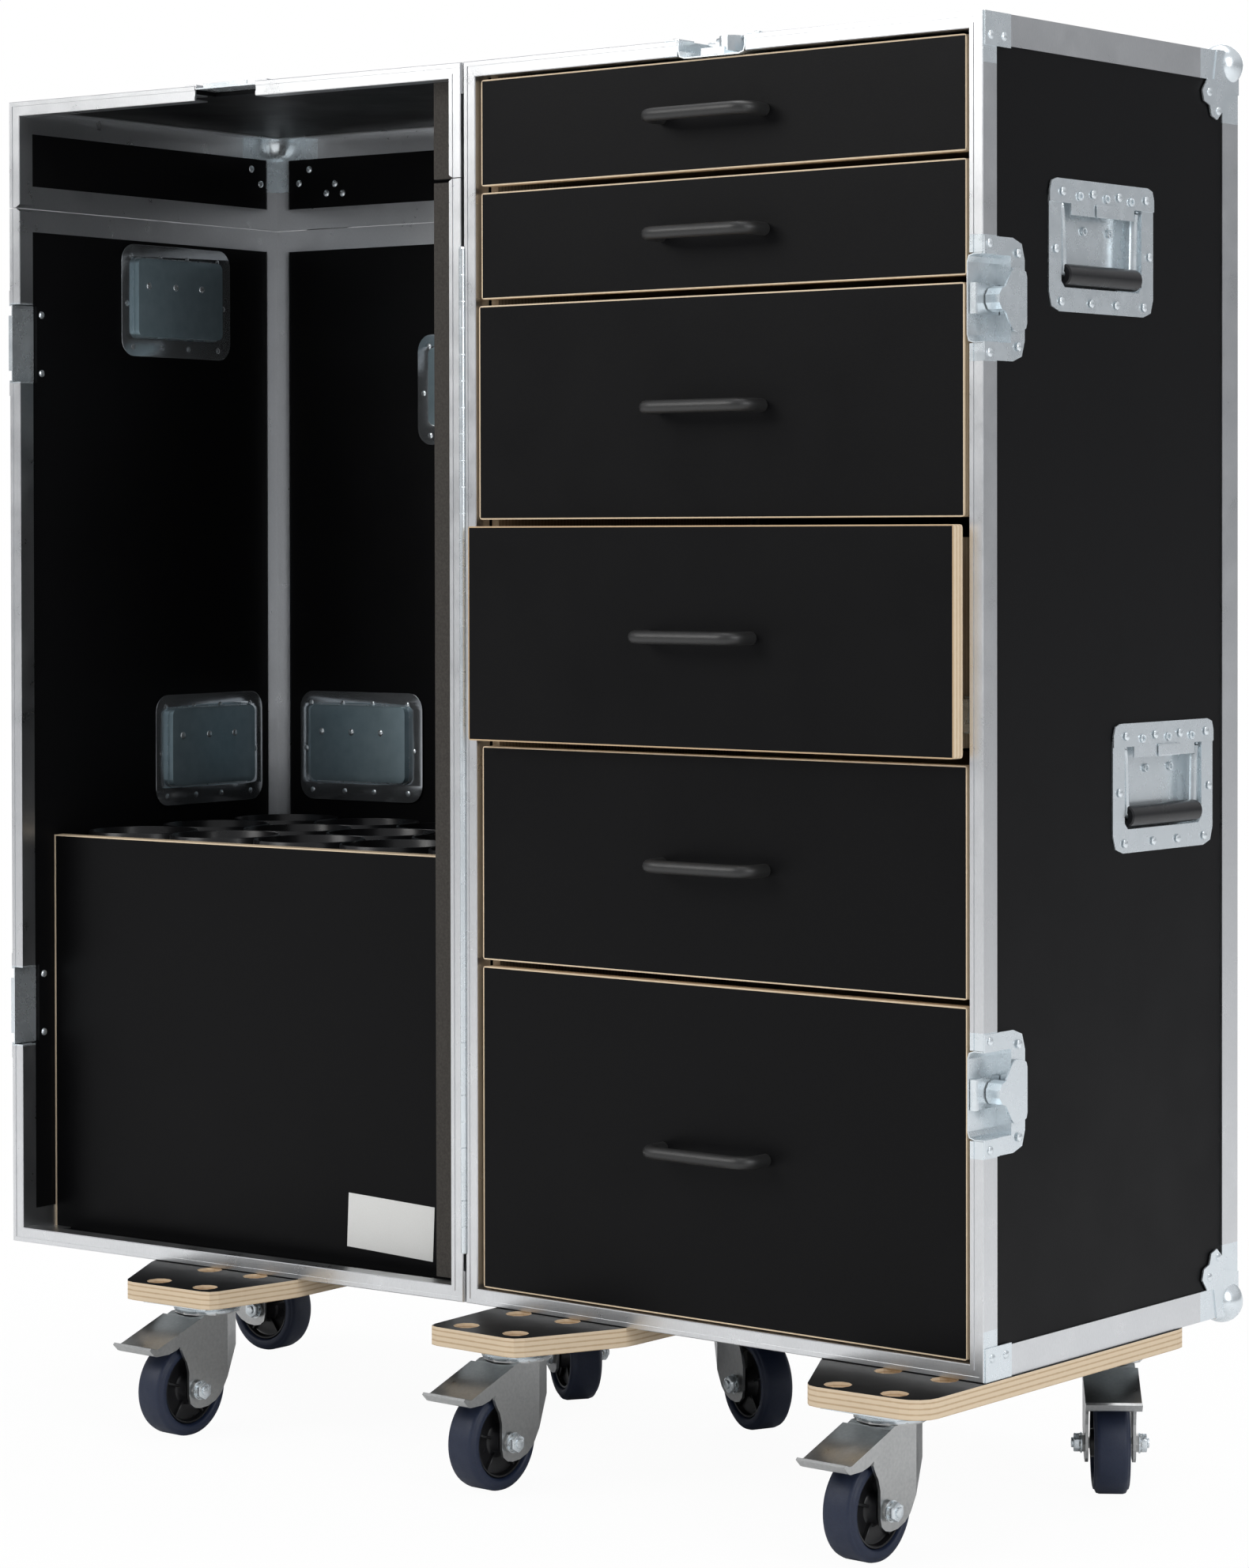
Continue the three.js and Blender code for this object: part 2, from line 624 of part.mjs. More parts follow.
// Drawers, from the top down.
const openTop = halfHeight - closureFace - drawerTopGap;
const deepHeight = drawerHeights.reduce((left, height) => left - height - drawerGap,
  openTop - closureFace - drawerBottomGap);
const drawers = [...drawerHeights, deepHeight].map((height, i) => {
  const above = drawerHeights.slice(0, i).reduce((sum, h) => sum + h + drawerGap, 0);
  return { height, top: openTop - above, bottom: openTop - above - height, ajar: drawerAjar[i] };
});
const frontLeft = closureFace + frontSideGap;
const uprightInner = wallInside + uprightOffset + uprightThickness;
const boxLeft = uprightInner + railDepth + fuse * 2;
const railFloor = ({ bottom }) => bottom + boxUnderFront + railAboveBox;

const drawerSolid = (drawer) => {
  const back = frontSetBack + frontThickness;
  const front = extrudeY(rectangle(frontLeft, frontLeft + frontWidth, drawer.bottom, drawer.top, frontCorner),
    frontSetBack, back, 2);
  const boxBottom = drawer.bottom + boxUnderFront;
  const box = cut(
    block(boxLeft, halfWidth - boxLeft, back - fuse, back + boxDepth, boxBottom, drawer.top - boxBelowFront),
    block(boxLeft + boxWall, halfWidth - boxLeft - boxWall, back, back + boxDepth - boxWall,
      boxBottom + boxFloor, drawer.top));
  const railLow = railFloor(drawer) + railSheet + railPlay;
  const railHigh = railFloor(drawer) + railHeight - railSheet - railPlay;
  const railX = uprightInner + railSheet + railPlay;
  const rails = [[railX, boxLeft + fuse], [halfWidth - boxLeft - fuse, halfWidth - railX]].map(([x0, x1]) =>
    block(x0, x1, railStart, railStart + railLength, railLow, railHigh));
  return join(front, box, rails);
};

const pullSolid = () => {
  const half = pullWidth / 2;
  const inner = half - pullBar;
  const bow = outline([[-half, 0], [-half, -pullReach], [half, -pullReach], [half, 0], [inner, 0],
    [inner, -pullReach + pullBar], [-inner, -pullReach + pullBar], [-inner, 0]],
  [0, pullCorner, pullCorner, 0, 0, pullInnerCorner, pullInnerCorner, 0]);
  return extrudeZ(bow, -pullHeight / 2, pullHeight / 2, 3);
};

// Right shell: walls, two uprights and the fixed C rails of the drawers.
const rightShell = () => {
  const upright = (x0) => block(x0, x0 + uprightThickness, uprightStart, halfDepth - wallInside + fuse,
    wallInside - fuse, halfHeight - wallInside + fuse);
  const leftUpright = wallInside + uprightOffset;
  const rail = (drawer, left) => {
    const z0 = railFloor(drawer);
    const z1 = z0 + railHeight;
    const edge = (d) => (left ? uprightInner + d : halfWidth - uprightInner - d);
    const span = (d0, d1) => [Math.min(edge(d0), edge(d1)), Math.max(edge(d0), edge(d1))];
    return cut(block(...span(-fuse, railDepth), railStart, railStart + railLength, z0, z1),
      block(...span(railSheet, railDepth + overrun), railStart - overrun, railStart + railLength + overrun,
        z0 + railSheet, z1 - railSheet));
  };
  const rails = drawers.flatMap((drawer) => [rail(drawer, true), rail(drawer, false)]);
  const cuts = [...latchHeights.map((z) => placed(latchCut(), latchOnSide(z))),
    placed(latchCut(), latchOnTop(latchTopPlace)),
    ...rightHandlePlaces.map(([y, z]) => placed(dishHole(), onSide(y, z)))];
  const walls = cut(join(shellBox(), upright(leftUpright),
    upright(halfWidth - leftUpright - uprightThickness)), cuts);
  return join(walls, rails);
};

const rightFrame = () => {
  const places = [...latchHeights.map(latchOnSide), latchOnTop(latchTopPlace)];
  const cutFrame = cut(halfFrame(), hingeHollow(), places.map((place) => placed(latchCut(), place)));
  return join(cutFrame, places.map((place) => placed(latchDish(), place)));
};

// Left half, built to the right of the axis and then mirrored to the left.
const mirrorLeft = new THREE.Matrix4().makeScale(-1, 1, 1).setPosition(-hingeGap, 0, 0);
const mirrored = (solid) => placed(solid, mirrorLeft);
const below = (top) => block(-angleLeg, halfWidth + angleLeg, -angleLeg, halfDepth + angleLeg, -angleLeg, top);
const above = (bottom) => block(-angleLeg, halfWidth + angleLeg, -angleLeg, halfDepth + angleLeg, bottom,
  halfHeight + angleLeg);
const leftPlace = ([side, along, z]) => (side === 'free' ? onSide(along, z) : onBack(along, z));

// The split profile lines both rims of the lid joint on three sides.
const lidBand = (lidSide) => {
  const line = lidLine + (lidSide ? lidGap / 2 : -lidGap / 2);
  const away = lidSide ? 1 : -1;
  const far = line + away * bandHeight;
  const cap = line + away * bandSheet;
  const [z0, z1] = [Math.min(line, far), Math.max(line, far)];
  const [s0, s1] = lidSide ? [cap, z1 + overrun] : [z0 - overrun, cap];
  const loop = (inset) => block(inset, halfWidth - inset, closureNose, halfDepth - inset, z0, z1);
  const hollow = (inset, from, to) => block(inset, halfWidth - inset, 0, halfDepth - inset, from, to);
  const slot = cut(hollow(skin, s0, s1), hollow(midWebStart, z0 - overrun * 2, z1 + overrun * 2));
  const front = block(midWebEnd - fuse, halfWidth - midWebEnd + fuse, 0, closureLeg, z0 - overrun, z1 + overrun);
  return cut(loop(0), hollow(midWebEnd, z0 - overrun, z1 + overrun), slot, front);
};

// V notches where the lid joint crosses the front profile.
const lidNotches = () => [0, halfWidth].map((x) => {
  const inward = x ? -1 : 1;
  const edge = x + inward * (closureFace + overrun);
  return extrudeY(outline([[edge, lidLine - notchHeight], [edge - inward * (notchDepth + overrun), lidLine],
    [edge, lidLine + notchHeight]]), -overrun, closureLeg + overrun);
});

const lidHingeShares = [0.186, 0.876];
const lidLeafWidth = 64;
const lidLeafHeight = 38;
const lidKnuckle = 3.2;
const lidPin = 1.6;
const lidBore = 2.1;
const lidKnuckleShare = 1 / 3;
const lidAxisY = halfDepth + lidKnuckle + seatGap;
const lidHinge = (lidSide) => lidHingeShares.map((share) => {
  const u = share * halfWidth;
  const [x0, x1] = [u - lidLeafWidth / 2, u + lidLeafWidth / 2];
  const inner = [u - lidLeafWidth * lidKnuckleShare / 2, u + lidLeafWidth * lidKnuckleShare / 2];
  const z0 = lidSide ? lidLine + lidGap : lidLine - lidLeafHeight;
  const z1 = lidSide ? lidLine + lidLeafHeight : lidLine - lidGap;
  const leaf = block(x0, x1, halfDepth - fuse, halfDepth + plateSheet, z0, z1);
  const rod = (radius, from, to) => extrudeX(circle(lidAxisY, lidLine, radius, barSides), from, to);
  const arm = (from, to) => block(from, to, halfDepth, lidAxisY,
    lidSide ? lidLine : lidLine - lidKnuckle, lidSide ? lidLine + lidKnuckle : lidLine);
  const swing = (from, to) => block(from, to, halfDepth + seatGap - fuse, halfDepth + lidKnuckle * 3,
    lidLine - lidKnuckle - knuckleGap, lidLine + lidKnuckle + knuckleGap);
  if (lidSide) {
    const knuckle = join(rod(lidKnuckle, inner[0] + knuckleGap, inner[1] - knuckleGap),
      arm(inner[0] + knuckleGap, inner[1] - knuckleGap));
    const ends = [swing(x0 - overrun, inner[0] + knuckleGap), swing(inner[1] - knuckleGap, x1 + overrun)];
    return cut(join(cut(leaf, ...ends),
      knuckle), rod(lidBore, x0, x1));
  }
  const spans = [[x0, inner[0]], [inner[1], x1]];
  return join(cut(leaf, swing(inner[0], inner[1])), spans.map(([a, b]) => join(rod(lidKnuckle, a, b), arm(a, b))),
    rod(lidPin, x0, x1));
});

// Flat angles line the inside corners: round the lid's ceiling, up both rear corners, and at the free side's
// foot.
const innerAngles = (lidSide) => {
  const [near, far, back] = [midWebStart, halfWidth - midWebStart, halfDepth - midWebStart];
  const bandFoot = lidLine - lidGap / 2 - bandHeight;
  const bandHead = lidLine + lidGap / 2 + bandHeight;
  const [z0, z1] = lidSide ? [bandHead - fuse, halfHeight - midWebStart] : [midWebStart, bandFoot + fuse];
  const posts = cut(
    join(block(near, near + innerPostLeg, back - innerPostLeg, back, z0, z1),
      block(far - innerPostLeg, far, back - innerPostLeg, back, z0, z1)),
    block(midWebEnd, halfWidth - midWebEnd, 0, halfDepth - midWebEnd, z0 - overrun, z1 + overrun));
  if (!lidSide) {
    const strip = cut(
      block(far - innerLeg, far, closureLeg - fuse, rackFront - seatGap, midWebStart, midWebStart + innerLeg),
      block(0, halfWidth - midWebEnd, 0, rackFront, midWebEnd, innerLeg * 2));
    return [posts, strip];
  }
  const ceiling = cut(
    block(near, far, closureLeg - fuse, back, z1 - innerLeg, z1),
    block(midWebEnd, halfWidth - midWebEnd, 0, halfDepth - midWebEnd, z1 - innerLeg * 2, halfHeight - midWebEnd),
    block(near + innerLeg, far - innerLeg, 0, back - innerLeg, z1 - innerLeg, z1 + overrun),
    block(0, battenRight + seatGap, 0, battenBack + seatGap, z1 - innerLeg * 2, z1 + overrun));
  return [posts, ceiling];
};

const leftFrame = (lidSide) => {
  const line = lidLine + (lidSide ? lidGap / 2 : -lidGap / 2);
  const keepers = lidSide ? [latchOnTop(keeperTopPlace)] : keeperHeights.map(latchOnSide);
  const frame = join(halfFrame(), lidBand(lidSide), innerAngles(lidSide));
  const notches = keepers.map((place) => placed(keeperCut(keeperCutGap), place));
  const whole = cut(frame, [hingeHollowLeft()], lidNotches(), notches);
  const part = whole.intersect(lidSide ? above(line) : below(line));
  return join(part, keepers.map((place) => placed(keeper(), place)), lidHinge(lidSide));
};
const hingeHollowLeft = () => extrudeZ(
  circle(-hingeGap - hingeAxisX, hingeAxisY, knuckleRadius + hingeRelief, barSides),
  hingeBottom - knuckleGap, hingeTop + knuckleGap);

const leftShell = (lidSide) => {
  const line = lidLine + (lidSide ? 1 : -1) * (lidGap / 2 + bandSheet + seatGap);
  const battenEnd = lidLine + (lidSide ? 1 : -1) * lidGap * 2;
  const [b0, b1] = lidSide ? [battenEnd, halfHeight - closureFace - seatGap]
    : [wallInside + battenEndGap, battenEnd];
  const battenFront = closureLeg + seatGap;
  const batten = join(
    block(closureFace + seatGap, battenRight, battenFront, battenBack, b0, b1),
    block(wallInside - fuse, battenRight, battenFront, battenBack, b0, lidSide ? b1 : line));
  const k0 = lidSide ? b0 - overrun : lidLine - bandHeight - lidGap;
  const k1 = lidSide ? lidLine + bandHeight + lidGap : b1 + overrun;
  const bandRoom = block(0, midWebEnd + seatGap, closureLeg - overrun, battenBack + overrun, k0, k1);
  const cuts = [
    ...(lidSide ? [latchOnTop(keeperTopPlace)] : keeperHeights.map(latchOnSide)).map((place) =>
      placed(keeperCut(keeperCutGap * 2), place)),
    ...(lidSide ? [] : leftHandlePlaces.map((spot) => placed(dishHole(), leftPlace(spot)))),
  ];
  return join(cut(shellBox(), cuts).intersect(lidSide ? above(line) : below(line)), cut(batten, bandRoom));
};
// Rack of tubes behind its panel.
const tubeRow = (row) => {
  const firstColumn = (halfWidth - tubePitch * (tubeColumns - 1)) / 2;
  const v = lastRow - row * rowPitch;
  const foot = wallInside + seatGap;
  const places = Array.from({ length: tubeColumns }, (_, i) => firstColumn + i * tubePitch);
  return cut(join(places.map((u) => extrudeZ(circle(u, v, tubeRadius, tubeSides), foot, tubeTop))),
    places.map((u) =>
      extrudeZ(circle(u, v, tubeRadius - tubeWall, tubeSides), foot - overrun, tubeTop + overrun)));
};

// Castor boards.
const boardTop = -seatGap;
const boardBottom = boardTop - boardThickness;
const noseHoles = (x, y) => [-1, 1].flatMap((i) =>
  [-1, 1].map((j) => [x + i * boltSpanX / 2, y + j * boltSpanY / 2]));

const board = (points, castors, noses) => {
  const plate = extrudeZ(outline(points, boardCorner), boardBottom, boardTop, 2);
  const plates = castors.map(([x, y]) => block(x - castorPlateX / 2, x + castorPlateX / 2, y - castorPlateY / 2,
    y + castorPlateY / 2, boardBottom - castorPlate, boardBottom + fuse));
  const spots = noses.flatMap(([x, y]) => noseHoles(x, y));
  const sinks = spots.map(([x, y]) => extrudeZ(
    circle(x, y, counterbore / 2, boltSides), boardTop - counterboreDepth,
    boardTop + overrun));
  const heads = spots.map(([x, y]) => extrudeZ(
    circle(x, y, boltHead / 2, nutSides), boardTop - counterboreDepth - fuse,
    boardTop - counterboreDepth + boltHeadHeight));
  return join(cut(join(plate, plates), sinks), heads);
};

// Castors: swivel fork with race and axle, wheel, and brake pedal.
// A castor is built with its swivel axis on z, the board's underside at z = 0 and its wheel along +x.
const axleDrop = wheelRadius - castorHeight;
const forkTopZ = -forkTop;
const scaled = (shares, size) => shares.map(([a, b]) => [a * size, b * size]);
const forkProfile = (braked) => {
  const front = [...scaled(braked ? brakedFrontShares : plainFrontShares, castorHeight),
    [castorHeight * (braked ? brakedNeckShare : plainNeckShare), forkTopZ]];
  const lower = scaled(forkLowerShares, castorHeight);
  const eases = [0, forkEase, ...lower.map((_, i) => (i > 0 ? forkEase : 0)), ...front.map(() => forkEase / 2)];
  return outline([[-forkRear, forkTopZ], [-forkRear, -forkKnee], ...lower, ...front], eases);
};

const forkPlan = (half, rear) => outline([[-rear, -half], [-rear, half], [forkReach, half], [forkReach, -half]],
  [half, half, 0, 0]);

const fork = (braked) => {
  const body = extrudeY(forkProfile(braked), -forkHalf, forkHalf, 1)
    .intersect(extrudeZ(forkPlan(forkHalf, forkRear), -castorHeight, 0, 2));
  const hollowPlan = forkPlan(forkHalf - forkSheet, forkRear - forkSheet);
  const hollow = extrudeZ(hollowPlan, -castorHeight, forkTopZ - forkSheet, 2);
  const race = extrudeZ(circle(0, 0, raceRadius, raceSides), forkTopZ - fuse, -castorPlate - raceGap);
  const axle = extrudeY(circle(wheelTrail, axleDrop, axleRadius, barSides), -axleHalf, axleHalf);
  const nutSpans = [[-forkHalf - nutSheet, -forkHalf + fuse], [forkHalf - fuse, forkHalf + nutSheet]];
  const nuts = nutSpans.map(([y0, y1]) =>
    extrudeY(circle(wheelTrail, axleDrop, nutRadius, nutSides), y0, y1));
  return join(cut(body, hollow), race, axle, nuts);
};

const wheel = () => {
  const tyre = wheelWidth / 2;
  const half = [[axleRadius + axlePlay, hubWidth / 2], [hubBoss, hubWidth / 2], [hubRim, tyre - hubDish],
    [hubRim, tyre], [wheelRadius - tyreRound, tyre], [wheelRadius, tyre - tyreRound]];
  const profile = [...half.map(([r, h]) => [r, -h]), ...half.reverse()];
  const points = [...profile, profile[0]].map(([r, h]) => new THREE.Vector2(r, h));
  return solidOf(new THREE.LatheGeometry(points, wheelSides));
};

// The pedal is a channel bent over the fork, with a lip turned up at its end. It turns about the origin.
const pedal = () => {
  const side = outline([[-pedalBack, pedalBack], [pedalRun, -pedalDrop + pedalBack],
    [pedalRun + pedalLip, -pedalDrop + pedalLip],
    [pedalRun + pedalLip + pedalSheet, -pedalDrop + pedalLip - pedalSheet],
    [pedalRun + pedalSheet, -pedalDrop - pedalSheet],
    [pedalRun * pedalWebShare, -pedalDrop - pedalSheet], [-pedalBack, -pedalBack]],
  [pedalEase, pedalEase, 0, 0, pedalEase, pedalEase * 3, pedalEase]);
  const body = extrudeY(side, -pedalHalf, pedalHalf, 1);
  const under = extrudeY(outline([[-pedalBack * 2, pedalBack - pedalSheet], [0, pedalBack - pedalSheet],
    [pedalRun, -pedalDrop + pedalBack - pedalSheet], [pedalRun, -wheelRadius], [-pedalBack * 2, -wheelRadius]]),
  -pedalHalf + pedalSheet, pedalHalf - pedalSheet);
  return cut(body, under);
};

// Assembly.
const root = new THREE.Group();
const caseGroup = new THREE.Group();
root.add(caseGroup);

const groupAt = (parent, matrix) => {
  const group = new THREE.Group();
  group.applyMatrix4(matrix);
  parent.add(group);
  return group;
};

const addCastor = (parent, prefix, { name, heading, braked }, x, y) => {
  const castor = new THREE.Group();
  castor.position.set(x, y, boardBottom);
  castor.rotation.z = THREE.MathUtils.degToRad(heading);
  parent.add(castor);
  addMesh(castor, `${prefix}_castor_${name}_fork`, fork(braked), zinc);
  addMesh(castor, `${prefix}_castor_${name}_wheel`, wheel(), blueRubber).position.set(wheelTrail, 0, axleDrop);
  if (braked) {
    addMesh(castor, `${prefix}_castor_${name}_pedal`, pedal(), zinc).position.set(pedalAt[0], 0, pedalAt[1]);
  }
};

const addBail = (parent, name, place) => {
  const face = groupAt(parent, place);
  addMesh(face, name, bail(), zinc).position.set(0, bailPivotRise, -bailPivotDepth);
};

const addLatch = (parent, name, place) => {
  const face = groupAt(parent, place);
  addMesh(face, `latch_${name}_wing`, latchWing(), zinc).position.set(0, latchHubAt, 0);
  addMesh(face, `latch_${name}_hook`, latchHook(), zinc);
};

const castorPlaces = (castors, wanted = () => true) => castors.filter(wanted).map(({ placeShares: [a, b] }) =>
  [a * halfWidth, b * halfDepth]);
const nosePlaces = (castors) => castorPlaces(castors, (castor) => castor.nose);
const boardPoints = (shares) => shares.map(([a, b]) => [a * halfWidth, b * halfDepth]);

// Right half
addMesh(caseGroup, 'right_shell', rightShell(), darkLaminate);
addMesh(caseGroup, 'right_frame', join(rightFrame(), hingeLeafSolid(1)), aluminium);
addMesh(caseGroup, 'right_board',
  board(boardPoints(rightBoardShares), castorPlaces(rightCastors), nosePlaces(rightCastors)), birch);
rightHandlePlaces.forEach(([y, z], i) => {
  const name = `right_handle_${i ? 'lower' : 'upper'}`;
  addMesh(caseGroup, `${name}_dish`, placed(springDish(), onSide(y, z)), zinc);
  addBail(caseGroup, `${name}_bail`, onSide(y, z));
});
['upper', 'lower'].forEach((name, i) => addLatch(caseGroup, name,
  basis([0, 0, -1], [0, 1, 0], [1, 0, 0], halfWidth, 0, latchHeights[i])));
addLatch(caseGroup, 'top', latchOnTop(latchTopPlace));
drawers.forEach((drawer, i) => {
  const group = new THREE.Group();
  group.position.y = -drawer.ajar;
  caseGroup.add(group);
  addMesh(group, `drawer_${i + 1}`, drawerSolid(drawer), darkLaminate);
  addMesh(group, `drawer_${i + 1}_pull`, pullSolid(), blackPlastic)
    .position.set(frontLeft + frontWidth / 2, frontSetBack, (drawer.top + drawer.bottom) / 2);
});
rightCastors.forEach((castor) => addCastor(caseGroup, 'right', castor,
  castor.placeShares[0] * halfWidth, castor.placeShares[1] * halfDepth));

// Left half, turned about the hinge until it is a little short of flat
const hinge = new THREE.Group();
hinge.position.set(hingeAxisX, hingeAxisY, 0);
hinge.rotation.z = restShortOfFlat;
caseGroup.add(hinge);
const left = new THREE.Group();
left.position.set(-hingeAxisX, -hingeAxisY, 0);
hinge.add(left);
addMesh(left, 'left_shell', mirrored(leftShell(false)), darkLaminate);
addMesh(left, 'left_frame', join(mirrored(leftFrame(false)), hingeLeafSolid(-1)), aluminium);
addMesh(left, 'lid_shell', mirrored(leftShell(true)), darkLaminate);
addMesh(left, 'lid_frame', mirrored(leftFrame(true)), aluminium);
addMesh(left, 'left_board',
  mirrored(board(boardPoints(leftBoardShares), castorPlaces(leftCastors), nosePlaces(leftCastors))), birch);
addMesh(left, 'rack_panel', mirrored(block(wallInside + rackSidePlay, halfWidth - wallInside - rackSidePlay,
  rackFront, rackBack, wallInside + seatGap, rackTop)), darkLaminate);
rowNames.forEach((name, row) => {
  addMesh(left, `rack_tubes_${name}`, mirrored(tubeRow(row)), blackPlastic);
});
const leftHandleNames = ['side_upper', 'side_lower', 'back_lower', 'back_upper'];
leftHandlePlaces.forEach((spot, i) => {
  const [side, along, z] = spot;
  addMesh(left, `left_handle_${leftHandleNames[i]}_dish`, mirrored(placed(springDish(), leftPlace(spot))), zinc);
  addBail(left, `left_handle_${leftHandleNames[i]}_bail`, side === 'free'
    ? basis([0, -1, 0], [0, 0, 1], [-1, 0, 0], -hingeGap - halfWidth, along, z)
    : basis([-1, 0, 0], [0, 0, 1], [0, 1, 0], -hingeGap - along, halfDepth, z));
});
leftCastors.forEach((castor) => addCastor(left, 'left', castor,
  -hingeGap - castor.placeShares[0] * halfWidth, castor.placeShares[1] * halfDepth));

// The origin is the middle of the box, at the floor.
root.updateMatrixWorld(true);
const bounds = new THREE.Box3().setFromObject(root, true);
caseGroup.position.set(-(bounds.min.x + bounds.max.x) / 2, -(bounds.min.y + bounds.max.y) / 2, -bounds.min.z);

export default root;
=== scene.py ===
"""Road case with drawers: camera, light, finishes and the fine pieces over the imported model."""
import math

import bpy
from mathutils import Euler, Matrix, Vector


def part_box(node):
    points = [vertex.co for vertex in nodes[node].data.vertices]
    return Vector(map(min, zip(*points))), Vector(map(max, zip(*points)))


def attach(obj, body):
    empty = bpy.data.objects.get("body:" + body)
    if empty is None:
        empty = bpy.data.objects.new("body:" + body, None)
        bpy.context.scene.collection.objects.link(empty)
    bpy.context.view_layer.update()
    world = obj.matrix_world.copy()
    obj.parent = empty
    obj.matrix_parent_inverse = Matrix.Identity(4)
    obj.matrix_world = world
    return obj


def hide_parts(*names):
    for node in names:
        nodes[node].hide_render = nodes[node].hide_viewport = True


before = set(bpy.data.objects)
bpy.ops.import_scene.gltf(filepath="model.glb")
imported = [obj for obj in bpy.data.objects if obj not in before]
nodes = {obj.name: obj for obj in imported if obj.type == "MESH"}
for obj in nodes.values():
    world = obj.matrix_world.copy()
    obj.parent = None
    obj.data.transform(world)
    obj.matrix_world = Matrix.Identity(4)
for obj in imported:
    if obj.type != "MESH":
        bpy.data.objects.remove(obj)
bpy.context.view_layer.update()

# Sizes of the case in millimetres, as in the model
MM = 0.001
QUARTER_TURN = math.radians(90)
HALF_WIDTH = 645.0
HALF_DEPTH = 457.0
HALF_HEIGHT = 1280.0
ORIGIN = Vector((7.724019, -143.353543, 159.8))
HINGE = Vector((-2.0, -0.5, 0.0))
REST_TURN = math.radians(3.4)
LEFT_START = -4.0

# Drawers: how far each is pulled out, the height of its front, and the span of all the fronts
AJAR = (0.0, 0.0, 4.0, 22.0, 0.0, 0.0)
DRAWER_HEIGHTS = (109.0, 109.0, 219.0, 219.0, 219.5, 331.5)
DRAWER_GAP = 7.0
FRONTS_TOP = HALF_HEIGHT - 20.0
FRONT_SPAN = (21.0, 624.0)
FRONT_MARGIN = 6.0
FRONT_BACK = 19.2
WORN_EDGE = 1.4
WORN_DEPTH = 0.6
RAIL_START = 0.8

# Latches of the drawer half and keepers of the open half, by the height of their middle
LATCH_HEIGHTS = (1013, 268)
KEEPER_HEIGHTS = (1010, 265)
TOP_LATCH_MIDDLE = 324

# Sheet that stands proud of the case: corner pieces and latch plates
CORNER_SHEET = 1.2
LATCH_SHEET = 1.4

# Castor boards
BOARD_BOTTOM = -19.3


def place(x, y, z):
    """A point of the drawer half, in metres of the shared frame."""
    return (Vector((x, y, z)) + ORIGIN) * MM


def flat_left(u, v, z):
    """A point of the open half before it is turned to its rest angle."""
    return place(LEFT_START - u, v, z)


HINGE_PLACE = place(HINGE.x, HINGE.y, 0.0)
TURN_LEFT = (Matrix.Translation(HINGE_PLACE) @ Matrix.Rotation(REST_TURN, 4, "Z")
             @ Matrix.Translation(-HINGE_PLACE))


# Camera, fitted to the photograph: focal length and shift in its pixels, turn in degrees
PHOTO_HEIGHT = 1984.0
FOCAL_PIXELS = 5165.0
SHIFT_PIXELS = -239.0
SENSOR_HEIGHT = 36.0
CAMERA_SPOT = (2796.7, -3148.2, 788.3)
CAMERA_TURN = (89.22, 0.10, 39.37)


def set_camera():
    data = bpy.data.cameras.new("camera")
    data.sensor_fit = "VERTICAL"
    data.sensor_height = SENSOR_HEIGHT
    data.lens = FOCAL_PIXELS / PHOTO_HEIGHT * SENSOR_HEIGHT
    data.shift_y = SHIFT_PIXELS / PHOTO_HEIGHT
    data.clip_end = 100.0
    camera = bpy.data.objects.new("camera", data)
    camera.location = place(*CAMERA_SPOT)
    camera.rotation_euler = Euler([math.radians(angle) for angle in CAMERA_TURN])
    bpy.context.collection.objects.link(camera)
    bpy.context.scene.camera = camera


# Light: four soft boxes, and a world that the camera sees as white
def add_lamp(name, location, target, width, height, power, color):
    data = bpy.data.lights.new(name, "AREA")
    data.shape = "RECTANGLE"
    data.size = width
    data.size_y = height
    data.energy = power
    data.color = color
    lamp = bpy.data.objects.new(name, data)
    lamp.location = location
    lamp.rotation_euler = (Vector(target) - Vector(location)).to_track_quat("-Z", "Y").to_euler()
    bpy.context.collection.objects.link(lamp)


